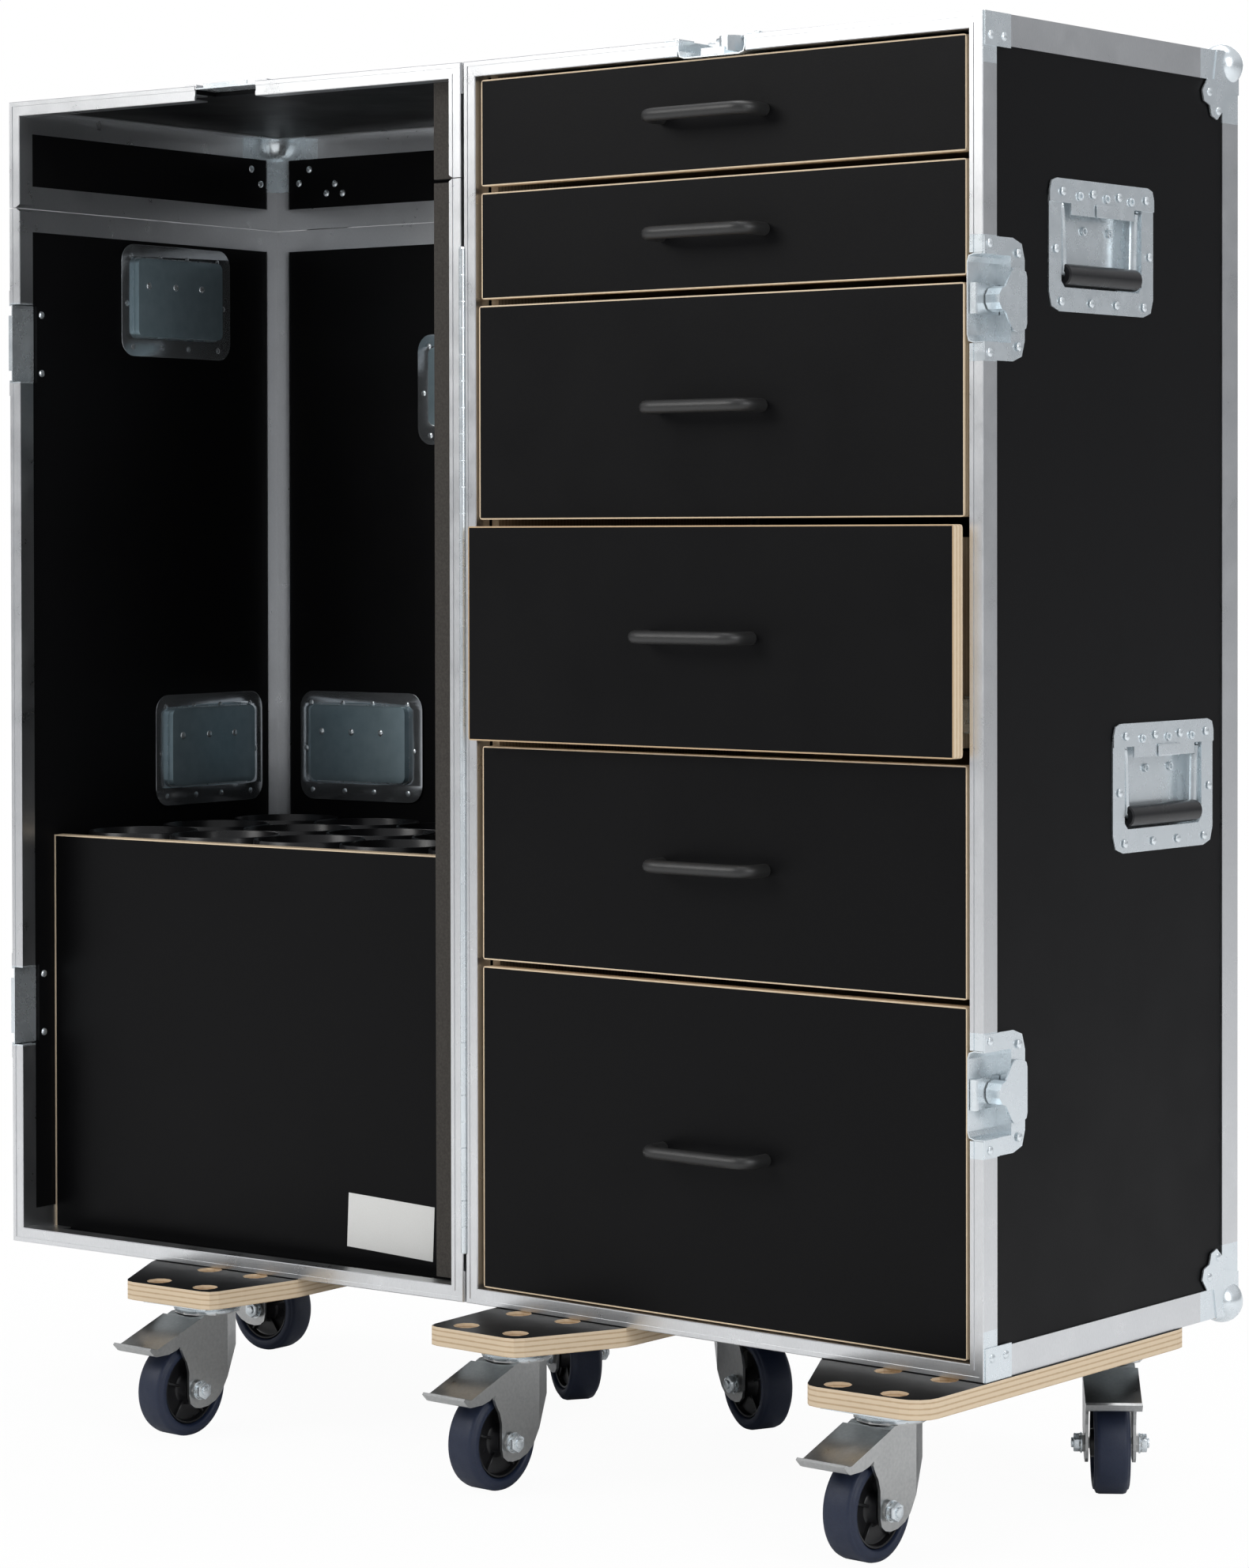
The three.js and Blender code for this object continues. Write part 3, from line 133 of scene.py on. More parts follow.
def set_light():
    add_lamp("key_softbox", (-2.4, -4.2, 3.4), (0, 0, 0.7), 2.6, 2.6, 100.0, (1.0, 0.99, 0.97))
    add_lamp("side_softbox", (4.6, -1.0, 2.4), (0.3, 0, 0.7), 1.6, 2.8, 62.0, (0.97, 0.985, 1.0))
    add_lamp("top_softbox", (0.2, 0.4, 4.4), (0, 0, 0.6), 3.2, 2.4, 60.0, (1.0, 1.0, 1.0))
    add_lamp("back_softbox", (-1.5, 4.4, 2.6), (0, 0, 0.7), 2.8, 2.4, 45.0, (1.0, 1.0, 1.0))
    world = bpy.data.worlds.new("studio")
    bpy.context.scene.world = world
    world.use_nodes = True
    tree = world.node_tree
    tree.nodes.clear()
    out = tree.nodes.new("ShaderNodeOutputWorld")
    seen = tree.nodes.new("ShaderNodeBackground")
    seen.inputs["Color"].default_value = (1, 1, 1, 1)
    seen.inputs["Strength"].default_value = 1.0
    lit = tree.nodes.new("ShaderNodeBackground")
    lit.inputs["Strength"].default_value = 0.62
    coords = tree.nodes.new("ShaderNodeTexCoord")
    split = tree.nodes.new("ShaderNodeSeparateXYZ")
    shade = tree.nodes.new("ShaderNodeValToRGB")
    shade.color_ramp.elements[0].position = 0.30
    shade.color_ramp.elements[0].color = (0.22, 0.225, 0.235, 1)
    shade.color_ramp.elements[1].position = 0.72
    shade.color_ramp.elements[1].color = (0.96, 0.97, 1.0, 1)
    horizon = shade.color_ramp.elements.new(0.52)
    horizon.color = (0.40, 0.41, 0.43, 1)
    lift = tree.nodes.new("ShaderNodeMath")
    lift.operation = "MULTIPLY_ADD"
    lift.inputs[1].default_value = 0.5
    lift.inputs[2].default_value = 0.5
    path = tree.nodes.new("ShaderNodeLightPath")
    mix = tree.nodes.new("ShaderNodeMixShader")
    link = tree.links.new
    link(coords.outputs["Generated"], split.inputs[0])
    link(split.outputs["Z"], lift.inputs[0])
    link(lift.outputs[0], shade.inputs[0])
    link(shade.outputs[0], lit.inputs["Color"])
    link(path.outputs["Is Camera Ray"], mix.inputs[0])
    link(lit.outputs[0], mix.inputs[1])
    link(seen.outputs[0], mix.inputs[2])
    link(mix.outputs[0], out.inputs["Surface"])


def lay_floor():
    """A pale floor that turns to plain white away from the case, as the camera sees it."""
    bpy.ops.object.select_all(action="DESELECT")
    bpy.ops.mesh.primitive_circle_add(vertices=96, radius=30.0, fill_type="NGON", location=(0, 0, 0))
    floor = bpy.context.object
    floor.name = "floor"
    mat = bpy.data.materials.new("pale_floor")
    mat.use_nodes = True
    tree = mat.node_tree
    link = tree.links.new
    shader = tree.nodes["Principled BSDF"]
    shader.inputs["Base Color"].default_value = (0.9, 0.9, 0.9, 1)
    shader.inputs["Roughness"].default_value = 0.7
    white = tree.nodes.new("ShaderNodeEmission")
    white.inputs["Strength"].default_value = 1.0
    coords = tree.nodes.new("ShaderNodeTexCoord")
    reach = tree.nodes.new("ShaderNodeVectorMath")
    reach.operation = "LENGTH"
    ramp = tree.nodes.new("ShaderNodeMapRange")
    ramp.interpolation_type = "SMOOTHSTEP"
    ramp.inputs["From Min"].default_value = 0.45
    ramp.inputs["From Max"].default_value = 1.5
    ramp.inputs["To Min"].default_value = 0.96
    path = tree.nodes.new("ShaderNodeLightPath")
    seen = tree.nodes.new("ShaderNodeMath")
    seen.operation = "MULTIPLY"
    mix = tree.nodes.new("ShaderNodeMixShader")
    link(coords.outputs["Object"], reach.inputs[0])
    link(reach.outputs["Value"], ramp.inputs["Value"])
    link(ramp.outputs[0], seen.inputs[0])
    link(path.outputs["Is Camera Ray"], seen.inputs[1])
    link(seen.outputs[0], mix.inputs[0])
    link(shader.outputs[0], mix.inputs[1])
    link(white.outputs[0], mix.inputs[2])
    link(mix.outputs[0], tree.nodes["Material Output"].inputs["Surface"])
    floor.data.materials.append(mat)


# Shared effects of the finishes
def new_effect(name, inputs, outputs):
    tree = bpy.data.node_groups.new(name, "ShaderNodeTree")
    for label, kind, start in inputs:
        socket = tree.interface.new_socket(name=label, in_out="INPUT", socket_type=kind)
        if start is not None:
            socket.default_value = start
    for label, kind in outputs:
        tree.interface.new_socket(name=label, in_out="OUTPUT", socket_type=kind)
    return tree, tree.nodes.new("NodeGroupInput"), tree.nodes.new("NodeGroupOutput")


def fine_grain_effect():
    tree, given, out = new_effect("fine_grain", [
        ("Place", "NodeSocketVector", None), ("Scale", "NodeSocketFloat", 900.0),
        ("Depth", "NodeSocketFloat", 0.2)], [("Value", "NodeSocketFloat"), ("Normal", "NodeSocketVector")])
    noise = tree.nodes.new("ShaderNodeTexNoise")
    noise.inputs["Detail"].default_value = 3.0
    bump = tree.nodes.new("ShaderNodeBump")
    bump.inputs["Distance"].default_value = 0.0004
    link = tree.links.new
    link(given.outputs["Place"], noise.inputs["Vector"])
    link(given.outputs["Scale"], noise.inputs["Scale"])
    link(noise.outputs[0], bump.inputs["Height"])
    link(given.outputs["Depth"], bump.inputs["Strength"])
    link(noise.outputs[0], out.inputs["Value"])
    link(bump.outputs[0], out.inputs["Normal"])
    return tree


def cloudy_effect():
    tree, given, out = new_effect("cloudy_marks", [
        ("Place", "NodeSocketVector", None), ("Scale", "NodeSocketFloat", 12.0),
        ("Low", "NodeSocketFloat", 0.35), ("High", "NodeSocketFloat", 0.5)], [("Value", "NodeSocketFloat")])
    noise = tree.nodes.new("ShaderNodeTexNoise")
    noise.inputs["Detail"].default_value = 5.0
    noise.inputs["Roughness"].default_value = 0.6
    spread = tree.nodes.new("ShaderNodeMapRange")
    spread.inputs["From Min"].default_value = 0.3
    spread.inputs["From Max"].default_value = 0.7
    link = tree.links.new
    link(given.outputs["Place"], noise.inputs["Vector"])
    link(given.outputs["Scale"], noise.inputs["Scale"])
    link(noise.outputs[0], spread.inputs["Value"])
    link(given.outputs["Low"], spread.inputs["To Min"])
    link(given.outputs["High"], spread.inputs["To Max"])
    link(spread.outputs[0], out.inputs["Value"])
    return tree


def box_effect():
    tree, given, out = new_effect("inside_box", [
        ("Place", "NodeSocketVector", None), ("Centre", "NodeSocketVector", None),
        ("Half", "NodeSocketVector", None)], [("Mask", "NodeSocketFloat")])
    away, flat, over = (tree.nodes.new("ShaderNodeVectorMath") for _ in range(3))
    away.operation, flat.operation, over.operation = "SUBTRACT", "ABSOLUTE", "SUBTRACT"
    split = tree.nodes.new("ShaderNodeSeparateXYZ")
    first, second, inside = (tree.nodes.new("ShaderNodeMath") for _ in range(3))
    first.operation, second.operation, inside.operation = "MAXIMUM", "MAXIMUM", "LESS_THAN"
    inside.inputs[1].default_value = 0.0
    link = tree.links.new
    link(given.outputs["Place"], away.inputs[0])
    link(given.outputs["Centre"], away.inputs[1])
    link(away.outputs[0], flat.inputs[0])
    link(flat.outputs[0], over.inputs[0])
    link(given.outputs["Half"], over.inputs[1])
    link(over.outputs[0], split.inputs[0])
    link(split.outputs[0], first.inputs[0])
    link(split.outputs[1], first.inputs[1])
    link(first.outputs[0], second.inputs[0])
    link(split.outputs[2], second.inputs[1])
    link(second.outputs[0], inside.inputs[0])
    link(inside.outputs[0], out.inputs["Mask"])
    return tree


def layers_effect():
    tree, given, out = new_effect("plywood_layers", [
        ("Place", "NodeSocketVector", None), ("Pitch", "NodeSocketFloat", 0.0028)],
        [("Color", "NodeSocketColor"), ("Value", "NodeSocketFloat")])
    split = tree.nodes.new("ShaderNodeSeparateXYZ")
    step = tree.nodes.new("ShaderNodeMath")
    step.operation = "DIVIDE"
    part = tree.nodes.new("ShaderNodeMath")
    part.operation = "PINGPONG"
    part.inputs[1].default_value = 1.0
    noise = tree.nodes.new("ShaderNodeTexNoise")
    noise.inputs["Scale"].default_value = 160.0
    noise.inputs["Detail"].default_value = 4.0
    wander = tree.nodes.new("ShaderNodeMath")
    wander.operation = "MULTIPLY_ADD"
    wander.inputs[1].default_value = 0.35
    ramp = tree.nodes.new("ShaderNodeValToRGB")
    ramp.color_ramp.elements[0].position = 0.30
    ramp.color_ramp.elements[0].color = (0.55, 0.40, 0.25, 1)
    ramp.color_ramp.elements[1].position = 0.62
    ramp.color_ramp.elements[1].color = (0.74, 0.60, 0.43, 1)
    link = tree.links.new
    link(given.outputs["Place"], split.inputs[0])
    link(given.outputs["Place"], noise.inputs["Vector"])
    link(split.outputs["Z"], step.inputs[0])
    link(given.outputs["Pitch"], step.inputs[1])
    link(step.outputs[0], part.inputs[0])
    link(noise.outputs[0], wander.inputs[0])
    link(part.outputs[0], wander.inputs[2])
    link(wander.outputs[0], ramp.inputs[0])
    link(ramp.outputs[0], out.inputs["Color"])
    link(part.outputs[0], out.inputs["Value"])
    return tree


EFFECTS = {"grain": fine_grain_effect(), "cloud": cloudy_effect(), "box": box_effect(),
           "layers": layers_effect()}


# Finishes: each gives a colour, a roughness and a normal that vary, and a plain metallic share
class Bench:
    """One material under way: its node tree and the place that its patterns read."""

    def __init__(self, name, left_half=False):
        self.mat = bpy.data.materials.new(name)
        self.mat.use_nodes = True
        self.tree = self.mat.node_tree
        self.shader = self.tree.nodes["Principled BSDF"]
        coords = self.add("ShaderNodeTexCoord")
        self.coords = coords
        self.place = coords.outputs["Object"]
        if left_half:
            turn = self.add("ShaderNodeMapping")
            turn.inputs["Rotation"].default_value = (0, 0, -REST_TURN)
            back = HINGE_PLACE - Matrix.Rotation(-REST_TURN, 3, "Z") @ HINGE_PLACE
            turn.inputs["Location"].default_value = back
            self.join(coords.outputs["Object"], turn.inputs["Vector"])
            self.place = turn.outputs[0]

    def add(self, kind):
        return self.tree.nodes.new(kind)

    def join(self, start, end):
        self.tree.links.new(start, end)

    def effect(self, name, place=None, **values):
        node = self.add("ShaderNodeGroup")
        node.node_tree = EFFECTS[name]
        self.join(place or self.place, node.inputs["Place"])
        for label, value in values.items():
            node.inputs[label].default_value = value
        return node

    def stretched(self, scale):
        node = self.add("ShaderNodeMapping")
        node.inputs["Scale"].default_value = scale
        self.join(self.place, node.inputs["Vector"])
        return node.outputs[0]

    def tint(self, value, dark, pale):
        node = self.add("ShaderNodeMix")
        node.data_type = "RGBA"
        node.inputs[6].default_value = (*dark, 1)
        node.inputs[7].default_value = (*pale, 1)
        self.join(value, node.inputs[0])
        return node.outputs[2]

    def boxes(self, ranges):
        """A mask that is 1 inside any of the boxes, each given by two corners in metres."""
        mask = None
        for low, high in ranges:
            low, high = Vector(low), Vector(high)
            node = self.effect("box", Centre=(low + high) / 2, Half=(high - low) / 2)
            if mask is None:
                mask = node.outputs[0]
            else:
                most = self.add("ShaderNodeMath")
                most.operation = "MAXIMUM"
                self.join(mask, most.inputs[0])
                self.join(node.outputs[0], most.inputs[1])
                mask = most.outputs[0]
        return mask

    def blend(self, mask, first, second):
        """Two finishes, the second where the mask is 1."""
        result = {}
        for key, kind in (("color", "RGBA"), ("rough", "FLOAT"), ("normal", "VECTOR")):
            node = self.add("ShaderNodeMix")
            node.data_type = kind
            a, b, o = {"RGBA": (6, 7, 2), "FLOAT": (2, 3, 0), "VECTOR": (4, 5, 1)}[kind]
            self.join(mask, node.inputs[0])
            self.join(first[key], node.inputs[a])
            self.join(second[key], node.inputs[b])
            result[key] = node.outputs[o]
        metal = self.add("ShaderNodeMath")
        metal.operation = "MULTIPLY_ADD"
        if hasattr(first["metal"], "links"):
            metal.operation = "MAXIMUM"
            share = self.add("ShaderNodeMath")
            share.operation = "MULTIPLY"
            share.inputs[1].default_value = second["metal"]
            self.join(mask, share.inputs[0])
            self.join(first["metal"], metal.inputs[0])
            self.join(share.outputs[0], metal.inputs[1])
        else:
            self.join(mask, metal.inputs[0])
            metal.inputs[1].default_value = second["metal"] - first["metal"]
            metal.inputs[2].default_value = first["metal"]
        result["metal"] = metal.outputs[0]
        return result

    def done(self, finish, shine=0.10):
        self.join(finish["color"], self.shader.inputs["Base Color"])
        self.join(finish["rough"], self.shader.inputs["Roughness"])
        self.join(finish["normal"], self.shader.inputs["Normal"])
        if hasattr(finish["metal"], "links"):
            self.join(finish["metal"], self.shader.inputs["Metallic"])
        else:
            self.shader.inputs["Metallic"].default_value = finish["metal"]
        self.shader.inputs["Specular IOR Level"].default_value = shine
        return self.mat


def laminate(b):
    grain = b.effect("grain", Scale=750.0, Depth=0.16)
    marks = b.effect("cloud", Scale=9.0, Low=0.34, High=0.46)
    return {"color": b.tint(grain.outputs[0], (0.0025, 0.0025, 0.0028), (0.006, 0.006, 0.0065)),
            "rough": marks.outputs[0], "normal": grain.outputs[1], "metal": 0.0}


def aluminium(b):
    grain = b.effect("grain", place=b.stretched((6.0, 6.0, 1.0)), Scale=260.0, Depth=0.05)
    marks = b.effect("cloud", Scale=30.0, Low=0.26, High=0.36)
    return {"color": b.tint(grain.outputs[0], (0.66, 0.67, 0.68), (0.80, 0.81, 0.82)),
            "rough": marks.outputs[0], "normal": grain.outputs[1], "metal": 1.0}


def zinc(b):
    grain = b.effect("grain", Scale=90.0, Depth=0.04)
    marks = b.effect("cloud", Scale=45.0, Low=0.20, High=0.33)
    return {"color": b.tint(grain.outputs[0], (0.75, 0.81, 0.84), (0.82, 0.87, 0.90)),
            "rough": marks.outputs[0], "normal": grain.outputs[1], "metal": 0.8}


def mirror_zinc(b):
    grain = b.effect("grain", Scale=90.0, Depth=0.03)
    marks = b.effect("cloud", Scale=30.0, Low=0.10, High=0.18)
    return {"color": b.tint(grain.outputs[0], (0.52, 0.55, 0.58), (0.70, 0.74, 0.76)),
            "rough": marks.outputs[0], "normal": grain.outputs[1], "metal": 0.9}


def pan_zinc(b):
    grain = b.effect("grain", Scale=70.0, Depth=0.05)
    marks = b.effect("cloud", Scale=18.0, Low=0.30, High=0.44)
    return {"color": b.tint(grain.outputs[0], (0.24, 0.33, 0.37), (0.36, 0.46, 0.50)),
            "rough": marks.outputs[0], "normal": grain.outputs[1], "metal": 0.55}


def birch_edge(b, upright=False):
    """Plywood seen at its edge, its layers lying flat or, in upright boards, standing."""
    spot = b.place
    if upright:
        swing = b.add("ShaderNodeMapping")
        swing.inputs["Rotation"].default_value = (QUARTER_TURN, 0, 0)
        b.join(b.place, swing.inputs["Vector"])
        spot = swing.outputs[0]
    layers = b.effect("layers", place=spot, Pitch=0.0026)
    grain = b.effect("grain", Scale=500.0, Depth=0.25)
    marks = b.effect("cloud", Scale=60.0, Low=0.5, High=0.68)
    return {"color": layers.outputs[0], "rough": marks.outputs[0], "normal": grain.outputs[1],
            "metal": 0.0}


def powder_coat(b):
    grain = b.effect("grain", Scale=1500.0, Depth=0.5)
    marks = b.effect("cloud", Scale=20.0, Low=0.30, High=0.38)
    return {"color": b.tint(grain.outputs[0], (0.010, 0.010, 0.010), (0.030, 0.030, 0.030)),
            "rough": marks.outputs[0], "normal": grain.outputs[1], "metal": 0.0}


def dark_strip(b):
    grain = b.effect("grain", Scale=420.0, Depth=0.6)
    marks = b.effect("cloud", Scale=25.0, Low=0.68, High=0.8)
    return {"color": b.tint(grain.outputs[0], (0.035, 0.032, 0.029), (0.085, 0.078, 0.070)),
            "rough": marks.outputs[0], "normal": grain.outputs[1], "metal": 0.0}


def blue_rubber(b):
    grain = b.effect("grain", Scale=600.0, Depth=0.25)
    dust = b.effect("cloud", Scale=70.0, Low=0.45, High=0.62)
    return {"color": b.tint(grain.outputs[0], (0.005, 0.010, 0.028), (0.014, 0.024, 0.058)),
            "rough": dust.outputs[0], "normal": grain.outputs[1], "metal": 0.0}


def fork_steel(b):
    grain = b.effect("grain", Scale=300.0, Depth=0.12)
    marks = b.effect("cloud", Scale=40.0, Low=0.27, High=0.40)
    return {"color": b.tint(grain.outputs[0], (0.40, 0.41, 0.41), (0.58, 0.58, 0.57)),
            "rough": marks.outputs[0], "normal": grain.outputs[1], "metal": 1.0}


def black_moulding(b):
    grain = b.effect("grain", Scale=300.0, Depth=0.10)
    marks = b.effect("cloud", Scale=40.0, Low=0.25, High=0.36)
    return {"color": b.tint(grain.outputs[0], (0.006, 0.006, 0.007), (0.014, 0.014, 0.015)),
            "rough": marks.outputs[0], "normal": grain.outputs[1], "metal": 0.0}


def blank_paper(b):
    grain = b.effect("grain", Scale=900.0, Depth=0.1)
    marks = b.effect("cloud", Scale=30.0, Low=0.5, High=0.6)
    return {"color": b.tint(grain.outputs[0], (0.80, 0.80, 0.77), (0.88, 0.88, 0.86)),
            "rough": marks.outputs[0], "normal": grain.outputs[1], "metal": 0.0}


def single(name, finish, shine=0.10):
    b = Bench(name)
    return b.done(finish(b), shine)


MATERIALS = {
    "zinc": single("bright_zinc", zinc),
    "mirror": single("mirror_zinc", mirror_zinc),
    "pan": single("blue_grey_zinc", pan_zinc),
    "powder": single("black_powder_coat", powder_coat, 0.5),
    "rubber": single("black_rubber", black_moulding, 0.4),
    "tyre": single("blue_tyre", blue_rubber, 0.5),
    "paper": single("blank_paper", blank_paper),
    "fork": single("fork_steel", fork_steel),
    "tube": single("black_tube", black_moulding, 0.4),
}


def facing_mask(b, axis):
    """A mask that is 1 where the surface doesn't face along the axis, as on a panel's edges."""
    split = b.add("ShaderNodeSeparateXYZ")
    flat = b.add("ShaderNodeMath")
    flat.operation = "ABSOLUTE"
    edge = b.add("ShaderNodeMath")
    edge.operation = "LESS_THAN"
    edge.inputs[1].default_value = 0.6
    b.join(b.coords.outputs["Normal"], split.inputs[0])
    b.join(split.outputs[axis], flat.inputs[0])
    b.join(flat.outputs[0], edge.inputs[0])
    return edge.outputs[0]


def product(b, first, second):
    """A mask that is 1 where both are."""
    both = b.add("ShaderNodeMath")
    both.operation = "MULTIPLY"
    b.join(first, both.inputs[0])
    b.join(second, both.inputs[1])
    return both.outputs[0]


def outside(b, mask):
    """A mask that is 1 where the given one is 0."""
    rest = b.add("ShaderNodeMath")
    rest.operation = "SUBTRACT"
    rest.inputs[0].default_value = 1.0
    b.join(mask, rest.inputs[1])
    return rest.outputs[0]


def tall_box(near, front, far, back, past=10.0):
    """A box from under to over the drawer half, past its height by a margin at both ends."""
    return place(near, front, -past), place(far, back, HALF_HEIGHT + past)


# Where zinc rails and plywood uprights stand, from the hinge side to the outer side
MOVING_RAILS = ((20, 40.2), (604.8, 626))
FIXED_RAILS = ((27.5, 39.8), (605.2, 617.5))
UPRIGHTS = ((17.5, 27.55), (617.4, 627.6))
UPRIGHTS_FRONT = 19
FIXED_RAILS_FRONT = 16
BEFORE_FRONTS = -60
BEHIND_BOXES = 470
SHELL_BACK = 450
INSIDE_SHELL = -5.0


def drawer_finish(number, ajar, bottom, top):
    """Black front with a pale worn line of plywood round its edge, plywood box, zinc rails."""
    b = Bench("drawer_%d_finish" % number)
    low, high = FRONT_SPAN
    back = FRONT_BACK - ajar
    near_side, far_side = low - FRONT_MARGIN, high + FRONT_MARGIN
    front = b.boxes([tall_box(near_side, BEFORE_FRONTS, far_side, back)])
    middle = b.boxes([(place(low + WORN_EDGE, BEFORE_FRONTS, bottom + WORN_EDGE),
                       place(high - WORN_EDGE, back - WORN_DEPTH, top - WORN_EDGE))])
    edges = product(b, front, outside(b, middle))
    box = b.boxes([tall_box(near_side, back, far_side, BEHIND_BOXES)])
    rails = b.boxes([tall_box(near, back + RAIL_START, far, BEHIND_BOXES) for near, far in MOVING_RAILS])
    base = b.blend(box, laminate(b), birch_edge(b, True))
    base = b.blend(edges, base, birch_edge(b, True))
    return b.done(b.blend(rails, base, zinc(b)))


def right_shell_finish():
    """Black laminate, with plywood uprights and the zinc rails that are fixed to them."""
    b = Bench("right_shell_finish")
    uprights = b.boxes([tall_box(near, UPRIGHTS_FRONT, far, SHELL_BACK, INSIDE_SHELL)
                        for near, far in UPRIGHTS])
    rails = b.boxes([tall_box(near, FIXED_RAILS_FRONT, far, SHELL_BACK, INSIDE_SHELL)
                     for near, far in FIXED_RAILS])
    base = b.blend(uprights, laminate(b), birch_edge(b, True))
    return b.done(b.blend(rails, base, zinc(b)))


# The dark strip in plan, from its far front corner to its near back one, and its gap at either end
STRIP_FAR = (52.4, 20.9)
STRIP_NEAR = (9.2, 30.4)
STRIP_GAP = 9


def left_shell_finish(name):
    """Black laminate, with the dark strip that stands at the hinge side."""
    b = Bench(name, True)
    strip = b.boxes([(flat_left(*STRIP_FAR, STRIP_GAP), flat_left(*STRIP_NEAR, HALF_HEIGHT - STRIP_GAP))])
    return b.done(b.blend(strip, laminate(b), dark_strip(b)))


# Zinc on the frames: a corner piece's reach, the plates at the ends of the closure profile, and
# the boxes of keepers and latches. KEEPER and LATCH count from the outer side and a plate's middle
CORNER_REACH = 75
CORNER_RISE = 72
END_PLATE_HEIGHT = 48
END_PLATE_DEPTH = 47
HINGE_LEAF = ((-6, -4, 49), (-0.02, 24.5, 1092))
KEEPER = ((-34, -2, -45), (6, 60, 45))
TOP_KEEPER = ((281, -2, 1262), (364, 60, 1290))
LATCH = ((-18, -4, -59), (6, 71, 59))
TOP_LATCH = ((265, -4, 1258), (387, 71, 1290))


def frame_finish(name, left_half):
    """Aluminium, with zinc where the corner pieces, the latches or keepers and the hinge leaf are."""
    b = Bench(name, left_half)
    at = flat_left if left_half else place

    def span(low, high):
        a, c = at(*low), at(*high)
        return (tuple(map(min, a, c)), tuple(map(max, a, c)))

    far = HALF_WIDTH
    front, back = HALF_DEPTH - CORNER_RISE, HALF_DEPTH + 15
    zinc_places = []
    for near, end in ((far - CORNER_REACH, far + 14), (-14, CORNER_REACH)):
        zinc_places.append(span((near, front, HALF_HEIGHT - CORNER_RISE), (end, back, HALF_HEIGHT + 16)))
        zinc_places.append(span((near, front, -14), (end, back, CORNER_RISE)))
    for low, high in ((HALF_HEIGHT - END_PLATE_HEIGHT, HALF_HEIGHT + 4), (-4, END_PLATE_HEIGHT)):
        zinc_places.append(span((far - 0.4, -2, low), (far + 4, END_PLATE_DEPTH, high)))
    if left_half:
        heights, fitting, top_fitting = KEEPER_HEIGHTS, KEEPER, TOP_KEEPER
    else:
        heights, fitting, top_fitting = LATCH_HEIGHTS, LATCH, TOP_LATCH
    for z in heights:
        zinc_places.append(span(*[(far + across, depth, z + rise) for across, depth, rise in fitting]))
    zinc_places += [span(*top_fitting), span(*HINGE_LEAF)]
    return b.done(b.blend(b.boxes(zinc_places), aluminium(b), zinc(b)))


def layer(bottom, top):
    """A flat box that is wider than both halves."""
    return place(-800, -400, bottom), place(800, 600, top)


def board_finish(name, left_half):
    """A castor board: black faces, plywood at its edges and bolt holes, zinc castor plates under it."""
    b = Bench(name, left_half)
    edge = facing_mask(b, "Z")
    plates = b.boxes([layer(-24, BOARD_BOTTOM - 0.1)])
    counterbores = b.boxes([layer(BOARD_BOTTOM + 0.4, -1.0)])
    base = b.blend(edge, laminate(b), birch_edge(b))
    base = b.blend(counterbores, base, birch_edge(b))
    return b.done(b.blend(plates, base, zinc(b)))


# The rack panel's black part, short of its plywood edges at the top and the free side
RACK_FACE = ((632.6, 40, -20), (0, 75, 453.2))


def rack_panel_finish():
    b = Bench("rack_panel_finish", True)
    middle = b.boxes([[flat_left(*corner) for corner in RACK_FACE]])
    return b.done(b.blend(outside(b, middle), laminate(b), birch_edge(b, True)))


def dress(node, mat):
    mesh = nodes[node].data
    mesh.materials.clear()
    mesh.materials.append(mat)


def drawer_spans():
    """The bottom and the top of each front, from the highest drawer down."""
    top, spans = FRONTS_TOP, []
    for height in DRAWER_HEIGHTS:
        spans.append((top - height, top))
        top -= height + DRAWER_GAP
    return spans


TUBE_ROWS = ("rack_tubes_rear", "rack_tubes_middle", "rack_tubes_front")


def dress_model():
    for name in nodes:
        if name.endswith(("_fork", "_pedal")):
            dress(name, MATERIALS["fork"])
        elif name.endswith(("_dish", "_bail", "_wing", "_hook")):
            dress(name, MATERIALS["zinc"])
        elif name.endswith("_pull"):
            dress(name, MATERIALS["powder"])
        elif name.endswith("_wheel"):
            dress(name, MATERIALS["tyre"])
    for number, ajar in enumerate(AJAR, 1):
        bottom, top = drawer_spans()[number - 1]
        dress("drawer_%d" % number, drawer_finish(number, ajar, bottom, top))
    dress("right_shell", right_shell_finish())
    dress("left_shell", left_shell_finish("left_shell_finish"))
    dress("lid_shell", left_shell_finish("lid_shell_finish"))
    dress("right_frame", frame_finish("right_frame_finish", False))
    dress("left_frame", frame_finish("left_frame_finish", True))
    dress("lid_frame", frame_finish("lid_frame_finish", True))
    dress("right_board", board_finish("right_board_finish", False))
    dress("left_board", board_finish("left_board_finish", True))
    dress("rack_panel", rack_panel_finish())
    for row in TUBE_ROWS:
        dress(row, MATERIALS["rubber"])


# Bench work: every piece is shaped at its own size, then its place is applied to its mesh
def clear_choice():
    if bpy.context.object and bpy.context.object.mode != "OBJECT":
        bpy.ops.object.mode_set(mode="OBJECT")
    bpy.ops.object.select_all(action="DESELECT")


def choose(obj):
    clear_choice()
    obj.select_set(True)
    bpy.context.view_layer.objects.active = obj


def settle(obj, matrix=None):
    """Moves the object by the matrix and applies its place to its mesh."""
    if matrix is not None:
        obj.matrix_world = matrix @ obj.matrix_world
    choose(obj)
    bpy.ops.object.transform_apply(location=True, rotation=True, scale=True)
    return obj


def apply_modifiers(obj):
    choose(obj)
    for modifier in list(obj.modifiers):
        bpy.ops.object.modifier_apply(modifier=modifier.name)
    return obj


